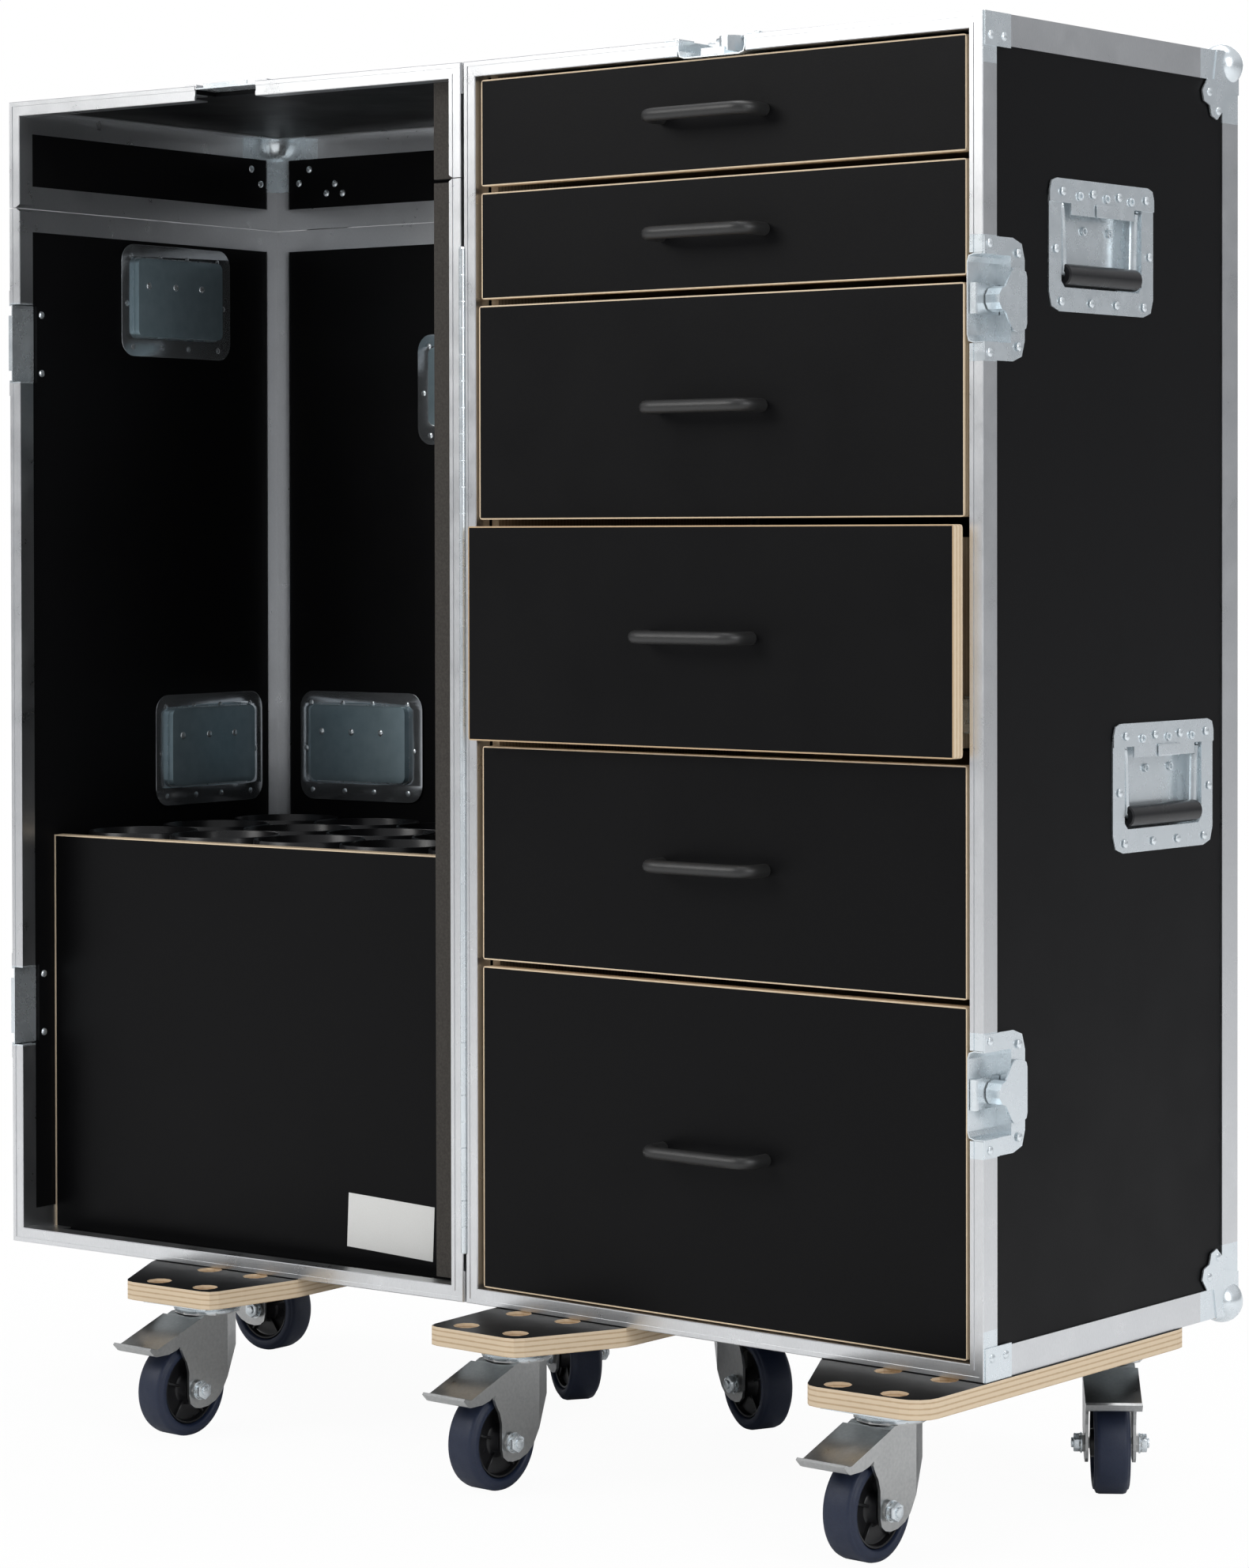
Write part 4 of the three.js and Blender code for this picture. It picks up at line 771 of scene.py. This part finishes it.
def bevel(obj, width, segments=2, angle=35.0):
    modifier = obj.modifiers.new("round", "BEVEL")
    modifier.width = width
    modifier.segments = segments
    modifier.limit_method = "ANGLE"
    modifier.angle_limit = math.radians(angle)
    return apply_modifiers(obj)


def face_outwards(obj):
    """Merges doubled points and turns every face outwards."""
    choose(obj)
    bpy.ops.object.mode_set(mode="EDIT")
    bpy.ops.mesh.select_all(action="SELECT")
    bpy.ops.mesh.remove_doubles(threshold=0.000005)
    bpy.ops.mesh.normals_make_consistent(inside=False)
    bpy.ops.object.mode_set(mode="OBJECT")
    return obj


def weld(parts):
    clear_choice()
    for part in parts:
        part.select_set(True)
    bpy.context.view_layer.objects.active = parts[0]
    if len(parts) > 1:
        bpy.ops.object.join()
    return bpy.context.view_layer.objects.active


def rod(start, end, radius, sides=20):
    """A round bar between two points in millimetres of its own bench."""
    start, end = Vector(start) * MM, Vector(end) * MM
    run = end - start
    clear_choice()
    bpy.ops.mesh.primitive_cylinder_add(
        vertices=sides, radius=radius * MM, depth=run.length, location=(start + end) / 2,
        rotation=run.to_track_quat("Z", "Y").to_euler())
    return settle(bpy.context.object)


def slab(low, high, round_edge=0.0, segments=2):
    """A block between two corners in millimetres of its own bench."""
    low, high = Vector(low) * MM, Vector(high) * MM
    clear_choice()
    bpy.ops.mesh.primitive_cube_add(size=1.0, location=(low + high) / 2)
    piece = bpy.context.object
    piece.scale = high - low
    settle(piece)
    return bevel(piece, round_edge * MM, segments) if round_edge else piece


def round_outline(width, height, corner, rise=0.0, steps=6):
    """The points of a rectangle with round corners, raised along its own Y."""
    points = []
    for across, up, start in ((1, 1, 0), (-1, 1, 90), (-1, -1, 180), (1, -1, 270)):
        for i in range(steps + 1):
            angle = math.radians(start + 90 * i / steps)
            points.append((across * (width / 2 - corner) + corner * math.cos(angle),
                           rise + up * (height / 2 - corner) + corner * math.sin(angle)))
    return points


def plate(outlines, thick, round_edge=0.0):
    """A flat plate that stands up from zero; the outlines after the first are windows in it."""
    curve = bpy.data.curves.new("plate", "CURVE")
    curve.dimensions = "2D"
    curve.fill_mode = "BOTH"
    curve.extrude = thick * MM / 2
    for points in outlines:
        spline = curve.splines.new("POLY")
        spline.points.add(len(points) - 1)
        for spot, (x, y) in zip(spline.points, points):
            spot.co = (x * MM, y * MM, 0, 1)
        spline.use_cyclic_u = True
    piece = bpy.data.objects.new("plate", curve)
    bpy.context.collection.objects.link(piece)
    choose(piece)
    bpy.ops.object.convert(target="MESH")
    piece = settle(face_outwards(bpy.context.object), Matrix.Translation((0, 0, thick * MM / 2)))
    return bevel(piece, round_edge * MM, 3, 50) if round_edge else piece


def hollowed(piece, sheet):
    """Opens the piece at its foot and leaves a thin sheet of it, measured inward."""
    choose(piece)
    bpy.ops.object.mode_set(mode="EDIT")
    bpy.ops.mesh.select_all(action="SELECT")
    bpy.ops.mesh.bisect(plane_co=(0, 0, 0.05 * MM), plane_no=(0, 0, 1),
                        clear_inner=True, use_fill=False)
    bpy.ops.object.mode_set(mode="OBJECT")
    skin = piece.modifiers.new("sheet", "SOLIDIFY")
    skin.thickness = sheet * MM
    skin.offset = -1.0
    return apply_modifiers(piece)


def bent_bar(points, radius, corner, steps=8, sides=12):
    """A round bar along straight runs with rounded bends, capped at both ends."""
    points = [Vector(p) for p in points]
    path = [points[0]]
    for before, here, after in zip(points, points[1:], points[2:]):
        a, c = (before - here).normalized() * corner, (after - here).normalized() * corner
        for i in range(steps + 1):
            t = i / steps
            path.append(here + a * (1 - t) ** 2 + c * t ** 2)
    path.append(points[-1])
    curve = bpy.data.curves.new("bar", "CURVE")
    curve.dimensions = "3D"
    spline = curve.splines.new("POLY")
    spline.points.add(len(path) - 1)
    for spot, p in zip(spline.points, path):
        spot.co = (*(p * MM), 1)
    curve.bevel_depth = radius * MM
    curve.bevel_resolution = max(1, sides // 4 - 1)
    curve.use_fill_caps = True
    piece = bpy.data.objects.new("bar", curve)
    bpy.context.collection.objects.link(piece)
    choose(piece)
    bpy.ops.object.convert(target="MESH")
    return face_outwards(bpy.context.object)


def turned(profile, steps=64):
    """A ring turned about its own Y axis from an outline of (across, radius) points, closed on itself."""
    clear_choice()
    bpy.ops.mesh.primitive_plane_add(size=0.001)
    piece = bpy.context.object
    bpy.ops.object.mode_set(mode="EDIT")
    bpy.ops.mesh.select_all(action="SELECT")
    bpy.ops.mesh.delete(type="VERT")
    bpy.ops.object.mode_set(mode="OBJECT")
    mesh = piece.data
    count = len(profile)
    mesh.from_pydata([(0, across * MM, radius * MM) for across, radius in profile],
                     [(i, (i + 1) % count) for i in range(count)], [])
    choose(piece)
    bpy.ops.object.mode_set(mode="EDIT")
    bpy.ops.mesh.select_all(action="SELECT")
    bpy.ops.mesh.spin(steps=steps, angle=math.tau, center=(0, 0, 0), axis=(0, 1, 0))
    bpy.ops.object.mode_set(mode="OBJECT")
    return face_outwards(piece)


def axes_at(origin, along, up, outward):
    """A place whose own X, Y and Z axes point along, up and outward."""
    matrix = Matrix.Identity(4)
    for column, vector in enumerate((along, up, outward)):
        for row in range(3):
            matrix[row][column] = vector[row]
    matrix.translation = origin
    return matrix


def copies(piece, matrices):
    """The piece again at each place, each with its own mesh; the one on the bench is thrown away."""
    made = []
    for matrix in matrices:
        twin = piece.copy()
        twin.data = piece.data.copy()
        bpy.context.collection.objects.link(twin)
        twin.matrix_world = matrix
        made.append(settle(twin))
    bpy.data.objects.remove(piece)
    return made


def hand_over(piece, name, mat, body, stands_for=(), smooth=32.0):
    """Names the finished piece, gives it its finish and its body, and hides the parts that it replaces."""
    piece.name = name
    piece.data.name = name
    piece.data.materials.clear()
    piece.data.materials.append(mat)
    choose(piece)
    bpy.ops.object.shade_smooth_by_angle(angle=math.radians(smooth))
    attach(piece, body)
    if stands_for:
        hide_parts(*stands_for)
    return piece


# Which way the mounting faces look: along, up, outward
SIDE = ((0, 1, 0), (0, 0, 1), (1, 0, 0))
FREE = ((0, -1, 0), (0, 0, 1), (-1, 0, 0))
BACK = ((-1, 0, 0), (0, 0, 1), (0, 1, 0))
TOP = ((1, 0, 0), (0, 1, 0), (0, 0, 1))
INWARD = SIDE
FORWARD = ((1, 0, 0), (0, 0, 1), (0, -1, 0))


# Rivets
def rivet_head(radius=4.3, height=1.9):
    """A low dome, flat and closed at its foot."""
    clear_choice()
    bpy.ops.mesh.primitive_uv_sphere_add(segments=14, ring_count=8, radius=radius * MM)
    piece = bpy.context.object
    bpy.ops.object.mode_set(mode="EDIT")
    bpy.ops.mesh.select_all(action="SELECT")
    bpy.ops.mesh.bisect(plane_co=(0, 0, 0), plane_no=(0, 0, 1), clear_inner=True, use_fill=True)
    bpy.ops.object.mode_set(mode="OBJECT")
    piece.scale = (1, 1, height / radius)
    return face_outwards(settle(piece))


def hollow_rivet():
    """The open end of a tubular rivet: a rolled rim round a hole."""
    profile = [(0.0, 4.3), (1.0, 4.0), (1.3, 3.3), (0.9, 2.5), (-0.6, 2.2), (-0.6, 4.3)]
    ring = turned(profile, 18)
    return settle(ring, Matrix.Rotation(QUARTER_TURN, 4, "X"))


def rivets(name, spots, body, turn=None, hollow=False):
    """Rivets in one piece. Each spot is a point in metres and the way its face looks."""
    head = hollow_rivet() if hollow else rivet_head()
    made = copies(head, [axes_at(at, *way) for at, way in spots])
    piece = settle(weld(made), turn)
    return hand_over(piece, name, MATERIALS["zinc"], body)


# Rivets of a spring handle from its middle, along and up. TOP ones stand on the cover plate
HANDLE_TOP = ((-71, 51), (-18, 51), (28, 51), (77, 51))
HANDLE_EDGE = ((-81, -4), (85, -4), (-72, -54), (-20, -54), (25, -54), (75, -54))
HANDLE_HOLLOW = ((-41, 48), (6, 48), (50, 48))
BRACKET_HOLLOW = ((-55, 17), (-9, 17), (36, 17))

# Middle of each handle: depth and height, or wall, distance along it and height
RIGHT_HANDLES = {"upper": (204, 1069), "lower": (316, 544)}
LEFT_HANDLES = {"side_upper": ("free", 266, 1067), "side_lower": ("free", 322, 542),
                "back_lower": ("back", 505, 542), "back_upper": ("back", 322.5, 965)}

# Faces that rivets stand on, from the hinge side, and the last from a wall's outer face inward
COVER_FACE = 647.1
DISH_FACE = 645.9
BRACKET_FACE = 630.2
INNER_RIVET_FACE = 9.9


def dish_rivets():
    for name, (y, z) in RIGHT_HANDLES.items():
        heads = [(place(COVER_FACE, y + a, z + b), SIDE) for a, b in HANDLE_TOP]
        heads += [(place(DISH_FACE, y + a, z + b), SIDE) for a, b in HANDLE_EDGE]
        rivets("right_handle_%s_rivets" % name, heads, "drawer_half")
        rims = [(place(COVER_FACE, y + a, z + b), SIDE) for a, b in HANDLE_HOLLOW]
        rims += [(place(BRACKET_FACE, y + a, z + b), SIDE) for a, b in BRACKET_HOLLOW]
        rivets("right_handle_%s_hollow_rivets" % name, rims, "drawer_half", hollow=True)
    for name, (wall, along, z) in LEFT_HANDLES.items():
        outer, inner = [], []
        for a, b in HANDLE_TOP + HANDLE_EDGE:
            face = COVER_FACE if (a, b) in HANDLE_TOP else DISH_FACE
            if wall == "free":
                outer.append((flat_left(face, along - a, z + b), FREE))
                inner.append((flat_left(HALF_WIDTH - INNER_RIVET_FACE, along - a, z + b), INWARD))
            else:
                depth = HALF_DEPTH + face - HALF_WIDTH
                outer.append((flat_left(along + a, depth, z + b), BACK))
                inner.append((flat_left(along + a, HALF_DEPTH - INNER_RIVET_FACE, z + b), FORWARD))
        rivets("left_handle_%s_rivets" % name, outer + inner, "open_half", TURN_LEFT)


# Pans and frames of the handles as the open half shows them. Faces count from a wall's outer face
PAN_SIZE = (145.0, 90.0)
PAN_RISE = 3.5
PAN_SHEET = 0.25
PAN_INNER_FACE = 17.7
FRAME_SIZE = (188.0, 130.0)
FRAME_SHEET = 0.9
FRAME_INNER_FACE = 10.1


def inner_dishes():
    """The round-cornered frames and the pans' backs, as the open half shows them."""
    wide, high = PAN_SIZE
    window = round_outline(wide + 4, high + 4, 9, PAN_RISE)
    ring = plate([round_outline(*FRAME_SIZE, 20), window], FRAME_SHEET, 0.3)
    depth = PAN_INNER_FACE - FRAME_INNER_FACE + 0.3
    cut_off = 2.5
    block = plate([round_outline(wide + 0.6, high + 0.6, 8, PAN_RISE)], depth + cut_off, 2.2)
    back = hollowed(settle(block, Matrix.Translation((0, 0, -cut_off * MM))), PAN_SHEET)
    places, pins = [], []
    for wall, along, z in LEFT_HANDLES.values():
        for deep, group in ((FRAME_INNER_FACE, places), (PAN_INNER_FACE + 0.2, pins)):
            if wall == "free":
                group.append((flat_left(HALF_WIDTH - deep, along, z), INWARD))
            else:
                group.append((flat_left(along, HALF_DEPTH - deep, z), FORWARD))
    at = [axes_at(spot, *way) for spot, way in places]
    rings = settle(weld(copies(ring, at)), TURN_LEFT)
    hand_over(rings, "left_inner_frames", MATERIALS["mirror"], "open_half")
    backs = settle(weld(copies(back, at)), TURN_LEFT)
    hand_over(backs, "left_pan_backs", MATERIALS["pan"], "open_half")
    heads = []
    for spot, way in pins:
        for a, b in BRACKET_HOLLOW:
            heads.append((spot + Vector(way[0]) * a * MM + Vector(way[1]) * b * MM, way))
    rivets("left_pan_rivets", heads, "open_half", TURN_LEFT)


# The field on a cover plate, its middle measured from the handle's
FIELD_SIZE = (40.0, 12.0)
FIELD_SHEET = 0.5
FIELD_MIDDLE = (6.5, 35.5)


def stamped_plates():
    """A blank raised field in the middle of each cover plate."""
    field = plate([round_outline(*FIELD_SIZE, 1.5)], FIELD_SHEET, 0.2)
    a, b = FIELD_MIDDLE
    spots = [axes_at(place(COVER_FACE, y + a, z + b), *SIDE) for y, z in RIGHT_HANDLES.values()]
    fields = weld(copies(field, spots))
    hand_over(fields, "right_stamped_fields", MATERIALS["zinc"], "drawer_half")


# Rivets of a corner piece from its corner, and of the plates at the profile's ends by depth and height
CORNER_HOLES = ((56, 43), (39, 61))
UPPER_END_HOLES = ((12, 1258), (34, 1258))
LOWER_END_HOLES = ((13, 21.6), (35.6, 21.9))

# Rivets of a latch plate and of a keeper: depth, and distance from its middle
LATCH_HOLES = ((9.5, 51), (9.5, -51), (58, 44), (58, -44))
KEEPER_HOLES = ((42, -33), (42, 33))
KEEPER_INNER_FACE = 9.0

# Rivets inside the lid: on the back wall by distance from the hinge side and height, and on the
# free wall by depth and height
LID_BACK_HOLES = ((601, 1218), (585, 1234), (545, 1215), (558, 1204), (533, 1203))
LID_SIDE_HOLES = ((402, 1234), (419, 1217))
LID_INNER_FACE = 8.7


def corner_rivets(at, side, low_group, top_group):
    """Rivets of a half's four rear corner pieces and of its profile's ends, sorted by height."""
    wide, deep = HALF_WIDTH + CORNER_SHEET, HALF_DEPTH + CORNER_SHEET
    for a, b in CORNER_HOLES:
        for height, group in ((HALF_HEIGHT - b, top_group), (b, low_group)):
            group.append((at(wide, HALF_DEPTH - a, height), side))
            group.append((at(HALF_WIDTH - a, deep, height), BACK))
            group.append((at(a, deep, height), BACK))
        for across in (HALF_WIDTH - a, a):
            top_group.append((at(across, HALF_DEPTH - b, HALF_HEIGHT + CORNER_SHEET), TOP))
    for holes, group in ((UPPER_END_HOLES, top_group), (LOWER_END_HOLES, low_group)):
        for depth, height in holes:
            group.append((at(wide, depth, height), side))


def right_frame_rivets():
    spots = []
    corner_rivets(place, SIDE, spots, spots)
    for depth, b in LATCH_HOLES:
        for z in LATCH_HEIGHTS:
            spots.append((place(HALF_WIDTH + LATCH_SHEET, depth, z + b), SIDE))
        spots.append((place(TOP_LATCH_MIDDLE + b, depth, HALF_HEIGHT + LATCH_SHEET), TOP))
    rivets("right_frame_rivets", spots, "drawer_half")


def left_frame_rivets():
    body, lid = [], []
    corner_rivets(flat_left, FREE, body, lid)
    for z in KEEPER_HEIGHTS:
        for depth, b in KEEPER_HOLES:
            body.append((flat_left(HALF_WIDTH - KEEPER_INNER_FACE, depth, z + b), INWARD))
    for u, z in LID_BACK_HOLES:
        lid.append((flat_left(u, HALF_DEPTH - LID_INNER_FACE, z), FORWARD))
    for v, z in LID_SIDE_HOLES:
        lid.append((flat_left(HALF_WIDTH - LID_INNER_FACE, v, z), INWARD))
    rivets("left_frame_rivets", body, "open_half", TURN_LEFT)
    rivets("lid_rivets", lid, "lid", TURN_LEFT)


# Ball corners, smooth over the faceted ones
BALL_RADIUS = 22.1
BALL_INSET = 12.0


def ball_corners():
    def balls(name, centres, body, turn=None):
        clear_choice()
        bpy.ops.mesh.primitive_uv_sphere_add(segments=40, ring_count=20, radius=BALL_RADIUS * MM)
        ball = settle(bpy.context.object)
        made = copies(ball, [Matrix.Translation(c) for c in centres])
        piece = settle(weld(made), turn)
        hand_over(piece, name, MATERIALS["zinc"], body, smooth=60)
    near, far, back = BALL_INSET, HALF_WIDTH - BALL_INSET, HALF_DEPTH - BALL_INSET
    top, bottom = HALF_HEIGHT - BALL_INSET, BALL_INSET
    right = [place(x, back, z) for x in (near, far) for z in (top, bottom)]
    balls("right_ball_corners", right, "drawer_half")
    balls("left_ball_corners", [flat_left(u, back, bottom) for u in (near, far)], "open_half", TURN_LEFT)
    balls("lid_ball_corners", [flat_left(u, back, top) for u in (near, far)], "lid", TURN_LEFT)


# Piano hinge: fine knuckles in turn on either leaf
KNUCKLE_PITCH = 27.3
KNUCKLE_RADIUS = 3.35
KNUCKLE_PLAY = 0.25
HINGE_FOOT = 51.0
HINGE_HEAD = 1090.0


def hinge_knuckles(name, right):
    """Every second knuckle of the hinge; the right leaf has the lowest one."""
    axis = HINGE.xy
    parts = []
    z = HINGE_FOOT + (0 if right else KNUCKLE_PITCH)
    while z < HINGE_HEAD - 2.0:
        top = min(z + KNUCKLE_PITCH, HINGE_HEAD)
        start, end = (*axis, z + KNUCKLE_PLAY), (*axis, top - KNUCKLE_PLAY)
        parts.append(rod(start, end, KNUCKLE_RADIUS, 16))
        z += KNUCKLE_PITCH * 2
    piece = bevel(weld(parts), 0.35 * MM, 1, 50)
    shift = Matrix.Translation(ORIGIN * MM)
    settle(piece, shift if right else TURN_LEFT @ shift)
    body = "drawer_half" if right else "open_half"
    hand_over(piece, name, MATERIALS["zinc"], body)


# Spring handles: wire bow with its rubber grip. The bail turns about an axis in the dish
BAIL_AXIS_INSET = 5.0
BAIL_AXIS_RISE = 36.0
WIRE_RADIUS = 3.9
WIRE_BEND = 9.0
GRIP_RADIUS = 10.9
GRIP_DROP = 64.0
GRIP_HALF = 64.0


def bail_pieces():
    low, high = (Vector(corner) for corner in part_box("right_handle_upper_bail"))
    axis = HALF_WIDTH - BAIL_AXIS_INSET
    out = (low.x + high.x) / 2 / MM - ORIGIN.x - axis
    bow = [(-66, 2, 0), (-64, -6, 0), (-62, -GRIP_DROP, out),
           (62, -GRIP_DROP, out), (64, -6, 0), (66, 2, 0)]
    wire = bent_bar(bow, WIRE_RADIUS, WIRE_BEND)
    shoulder = GRIP_HALF - 1.2
    sleeve = turned([(-GRIP_HALF, 4.2), (-GRIP_HALF, 9.4), (-shoulder, GRIP_RADIUS),
                     (shoulder, GRIP_RADIUS), (GRIP_HALF, 9.4), (GRIP_HALF, 4.2)], 36)
    lowered = Matrix.Translation((0, -GRIP_DROP * MM, out * MM))
    settle(sleeve, lowered @ Matrix.Rotation(-QUARTER_TURN, 4, "Z"))
    places, jobs = [], []
    for name, (y, z) in RIGHT_HANDLES.items():
        places.append(axes_at(place(axis, y, z + BAIL_AXIS_RISE), *SIDE))
        jobs.append(("right_handle_%s_bail" % name, "right_bail_%s" % name))
    for name, (wall, along, z) in LEFT_HANDLES.items():
        rise = z + BAIL_AXIS_RISE
        if wall == "free":
            here = axes_at(flat_left(axis, along, rise), *FREE)
        else:
            here = axes_at(flat_left(along, HALF_DEPTH - BAIL_AXIS_INSET, rise), *BACK)
        places.append(TURN_LEFT @ here)
        jobs.append(("left_handle_%s_bail" % name, "left_bail_%s" % name))
    for piece, (node, body) in zip(copies(wire, places), jobs):
        hand_over(piece, node + "_wire", MATERIALS["zinc"], body, [node])
    for piece, (node, body) in zip(copies(sleeve, places), jobs):
        hand_over(piece, node + "_grip", MATERIALS["rubber"], body, [node])


# Drawer pulls: a bent bar with round shoulders, its feet sunk a little into the front
PULL_HALF = 64.0
PULL_REACH = 32.3
PULL_RADIUS = 6.7
PULL_BEND = 19.0
PULL_FOOT = 4.0


def pull_pieces():
    bow = bent_bar([(-PULL_HALF, 0, 0), (-PULL_HALF, -PULL_REACH, 0),
                    (PULL_HALF, -PULL_REACH, 0), (PULL_HALF, 0, 0)],
                   PULL_RADIUS, PULL_BEND, steps=10, sides=20)
    middle = sum(FRONT_SPAN) / 2
    places = []
    for (bottom, top), ajar in zip(drawer_spans(), AJAR):
        places.append(Matrix.Translation(place(middle, PULL_FOOT - ajar, (bottom + top) / 2)))
    for number, piece in enumerate(copies(bow, places), 1):
        hand_over(piece, "drawer_%d_bow" % number, MATERIALS["powder"], "drawer_%d_box" % number,
                  ["drawer_%d_pull" % number])


# Tubes of the rack, round and with a clean rim. Columns run to the free side, rows to the front
TUBE_BORE = 59.2
TUBE_RADIUS = 61.9
TUBE_TOP = 449.1
RIM_RISE = 0.8
FIRST_TUBE = (74.5, 385.9)
COLUMN_PITCH = 124.0
ROW_PITCH = 124.7
TUBE_FOOT = 8.9


def tube_pieces():
    shoulder = TUBE_TOP - RIM_RISE
    tube = turned([(0, TUBE_BORE), (0, TUBE_RADIUS), (shoulder, TUBE_RADIUS), (TUBE_TOP, TUBE_RADIUS - 0.5),
                   (TUBE_TOP, TUBE_BORE + 0.5), (shoulder, TUBE_BORE)], 56)
    settle(tube, Matrix.Rotation(QUARTER_TURN, 4, "X"))
    across, deep = FIRST_TUBE
    places = [Matrix.Translation(flat_left(across + COLUMN_PITCH * column, deep - ROW_PITCH * row, TUBE_FOOT))
              for row in range(3) for column in range(5)]
    piece = settle(weld(copies(tube, places)), TURN_LEFT)
    hand_over(piece, "rack_round_tubes", MATERIALS["tube"], "open_half", list(TUBE_ROWS))


# Castors: tyre, hub, race ring and axle nuts. Each stands at a share of its half's width and depth
CASTORS = (
    ("right_castor_front_left", "front_left", 0.1752, -0.1094, -90.0),
    ("right_castor_front_right", "front_right", 0.8884, -0.1028, -90.0),
    ("right_castor_rear_right", "rear_right", 0.8992, 0.6893, -54.0),
    ("right_castor_rear_left", "rear_left", 0.1783, 0.6849, -23.5),
    ("left_castor_nose", "nose", 0.4775, -0.1094, -93.4),
    ("left_castor_near", "near", 0.1659, 0.6958, -36.4),
    ("left_castor_far", "far", 0.8884, 0.6958, -3.4),
)
AXLE_TRAIL = 39.0
AXLE_DROP = 90.5
RACE_DROP = 8.0
HUB_RIBS = 5


def castor_place(name, across_share, deep_share, heading):
    left = name.startswith("left")
    at = flat_left if left else place
    spot = at(across_share * HALF_WIDTH, deep_share * HALF_DEPTH, BOARD_BOTTOM)
    matrix = Matrix.Translation(spot) @ Matrix.Rotation(math.radians(heading), 4, "Z")
    return TURN_LEFT @ matrix if left else matrix


def both_sides(half, steps):
    """A ring turned from half an outline and its mirror image."""
    return turned(half + [(-a, r) for a, r in reversed(half)], steps)


def tyre_ring():
    return both_sides([(11.5, 49.9), (14.6, 49.0), (15.6, 47.2), (15.9, 46.0), (17.4, 45.2),
                       (17.9, 43.4), (17.9, 40.6), (17.2, 38.8), (15.8, 38.0), (13.5, 37.4)], 72)


def ribbed_hub():
    hub = both_sides([(13.4, 37.2), (14.6, 36.2), (14.2, 34.6), (9.0, 33.2), (8.0, 31.5), (8.4, 17.5),
                      (10.5, 15.2), (19.6, 13.6), (19.9, 12.6), (19.9, 6.8), (19.0, 6.3)], 64)
    ribs = []
    for k in range(HUB_RIBS):
        rib = slab((-1.4, -12.4, 14), (1.4, 12.4, 34), 0.5, 1)
        ribs.append(settle(rib, Matrix.Rotation(math.tau * k / HUB_RIBS, 4, "Y")))
    return weld([hub] + ribs)


def race_ring():
    """The ring of the swivel bearing, between the top plate and the fork."""
    race = turned([(0, 22), (0, 35.4), (2.2, 36.2), (5.0, 35.0), (5.4, 22)], 56)
    return settle(race, Matrix.Translation((0, 0, -RACE_DROP * MM)) @ Matrix.Rotation(-QUARTER_TURN, 4, "X"))


def on_axle(sign, start, end, radius, sides):
    """A bar along the axle, between two distances from the wheel's middle on one side of it."""
    return rod((AXLE_TRAIL, sign * start, -AXLE_DROP), (AXLE_TRAIL, sign * end, -AXLE_DROP),
               radius, sides)


def axle_nuts():
    """A washer, a nut and the axle's end on either side of the fork."""
    parts = []
    for sign in (1, -1):
        washer = on_axle(sign, 28.0, 29.6, 10.2, 28)
        nut = on_axle(sign, 29.6, 36.2, 9.5, 6)
        tip = on_axle(sign, 36.0, 38.6, 5.0, 20)
        parts += [washer, bevel(nut, 0.9 * MM, 2, 20), bevel(tip, 0.7 * MM, 2, 40)]
    return weld(parts)


def castor_pieces():
    matrices = [castor_place(name, *where) for name, _, *where in CASTORS]
    at_axle = [m @ Matrix.Translation((AXLE_TRAIL * MM, 0, -AXLE_DROP * MM)) for m in matrices]
    wheels = (("tyre", tyre_ring(), "tyre", 50), ("hub", ribbed_hub(), "rubber", 40))
    for part, ring, finish, smooth in wheels:
        for piece, (name, end, *_) in zip(copies(ring, at_axle), CASTORS):
            hand_over(piece, "%s_%s" % (name, part), MATERIALS[finish], "wheel_" + end,
                      [name + "_wheel"], smooth)
    for part, group in (("race", race_ring()), ("axle_nuts", axle_nuts())):
        for piece, (name, end, *_) in zip(copies(group, matrices), CASTORS):
            hand_over(piece, "%s_%s" % (name, part), MATERIALS["zinc"], "fork_" + end)


# The label is left blank, a little tilted as in the photograph
LABEL_HALF_WIDTH = 59.0
LABEL_HALF_HEIGHT = 29.0
LABEL_SHEET = 0.35
LABEL_MIDDLE = (144, 58.4, 56)
LABEL_TILT = math.radians(2.5)


def blank_label():
    label = slab((-LABEL_HALF_WIDTH, -LABEL_SHEET, -LABEL_HALF_HEIGHT),
                 (LABEL_HALF_WIDTH, 0, LABEL_HALF_HEIGHT), 0.1, 1)
    tilted = Matrix.Translation(flat_left(*LABEL_MIDDLE)) @ Matrix.Rotation(LABEL_TILT, 4, "Y")
    settle(label, TURN_LEFT @ tilted)
    hand_over(label, "blank_label", MATERIALS["paper"], "open_half")


set_camera()
set_light()
lay_floor()
dress_model()
dish_rivets()
inner_dishes()
stamped_plates()
right_frame_rivets()
left_frame_rivets()
ball_corners()
hinge_knuckles("right_hinge_knuckles", True)
hinge_knuckles("left_hinge_knuckles", False)
bail_pieces()
pull_pieces()
tube_pieces()
castor_pieces()
blank_label()

bpy.context.scene.view_settings.view_transform = "Standard"
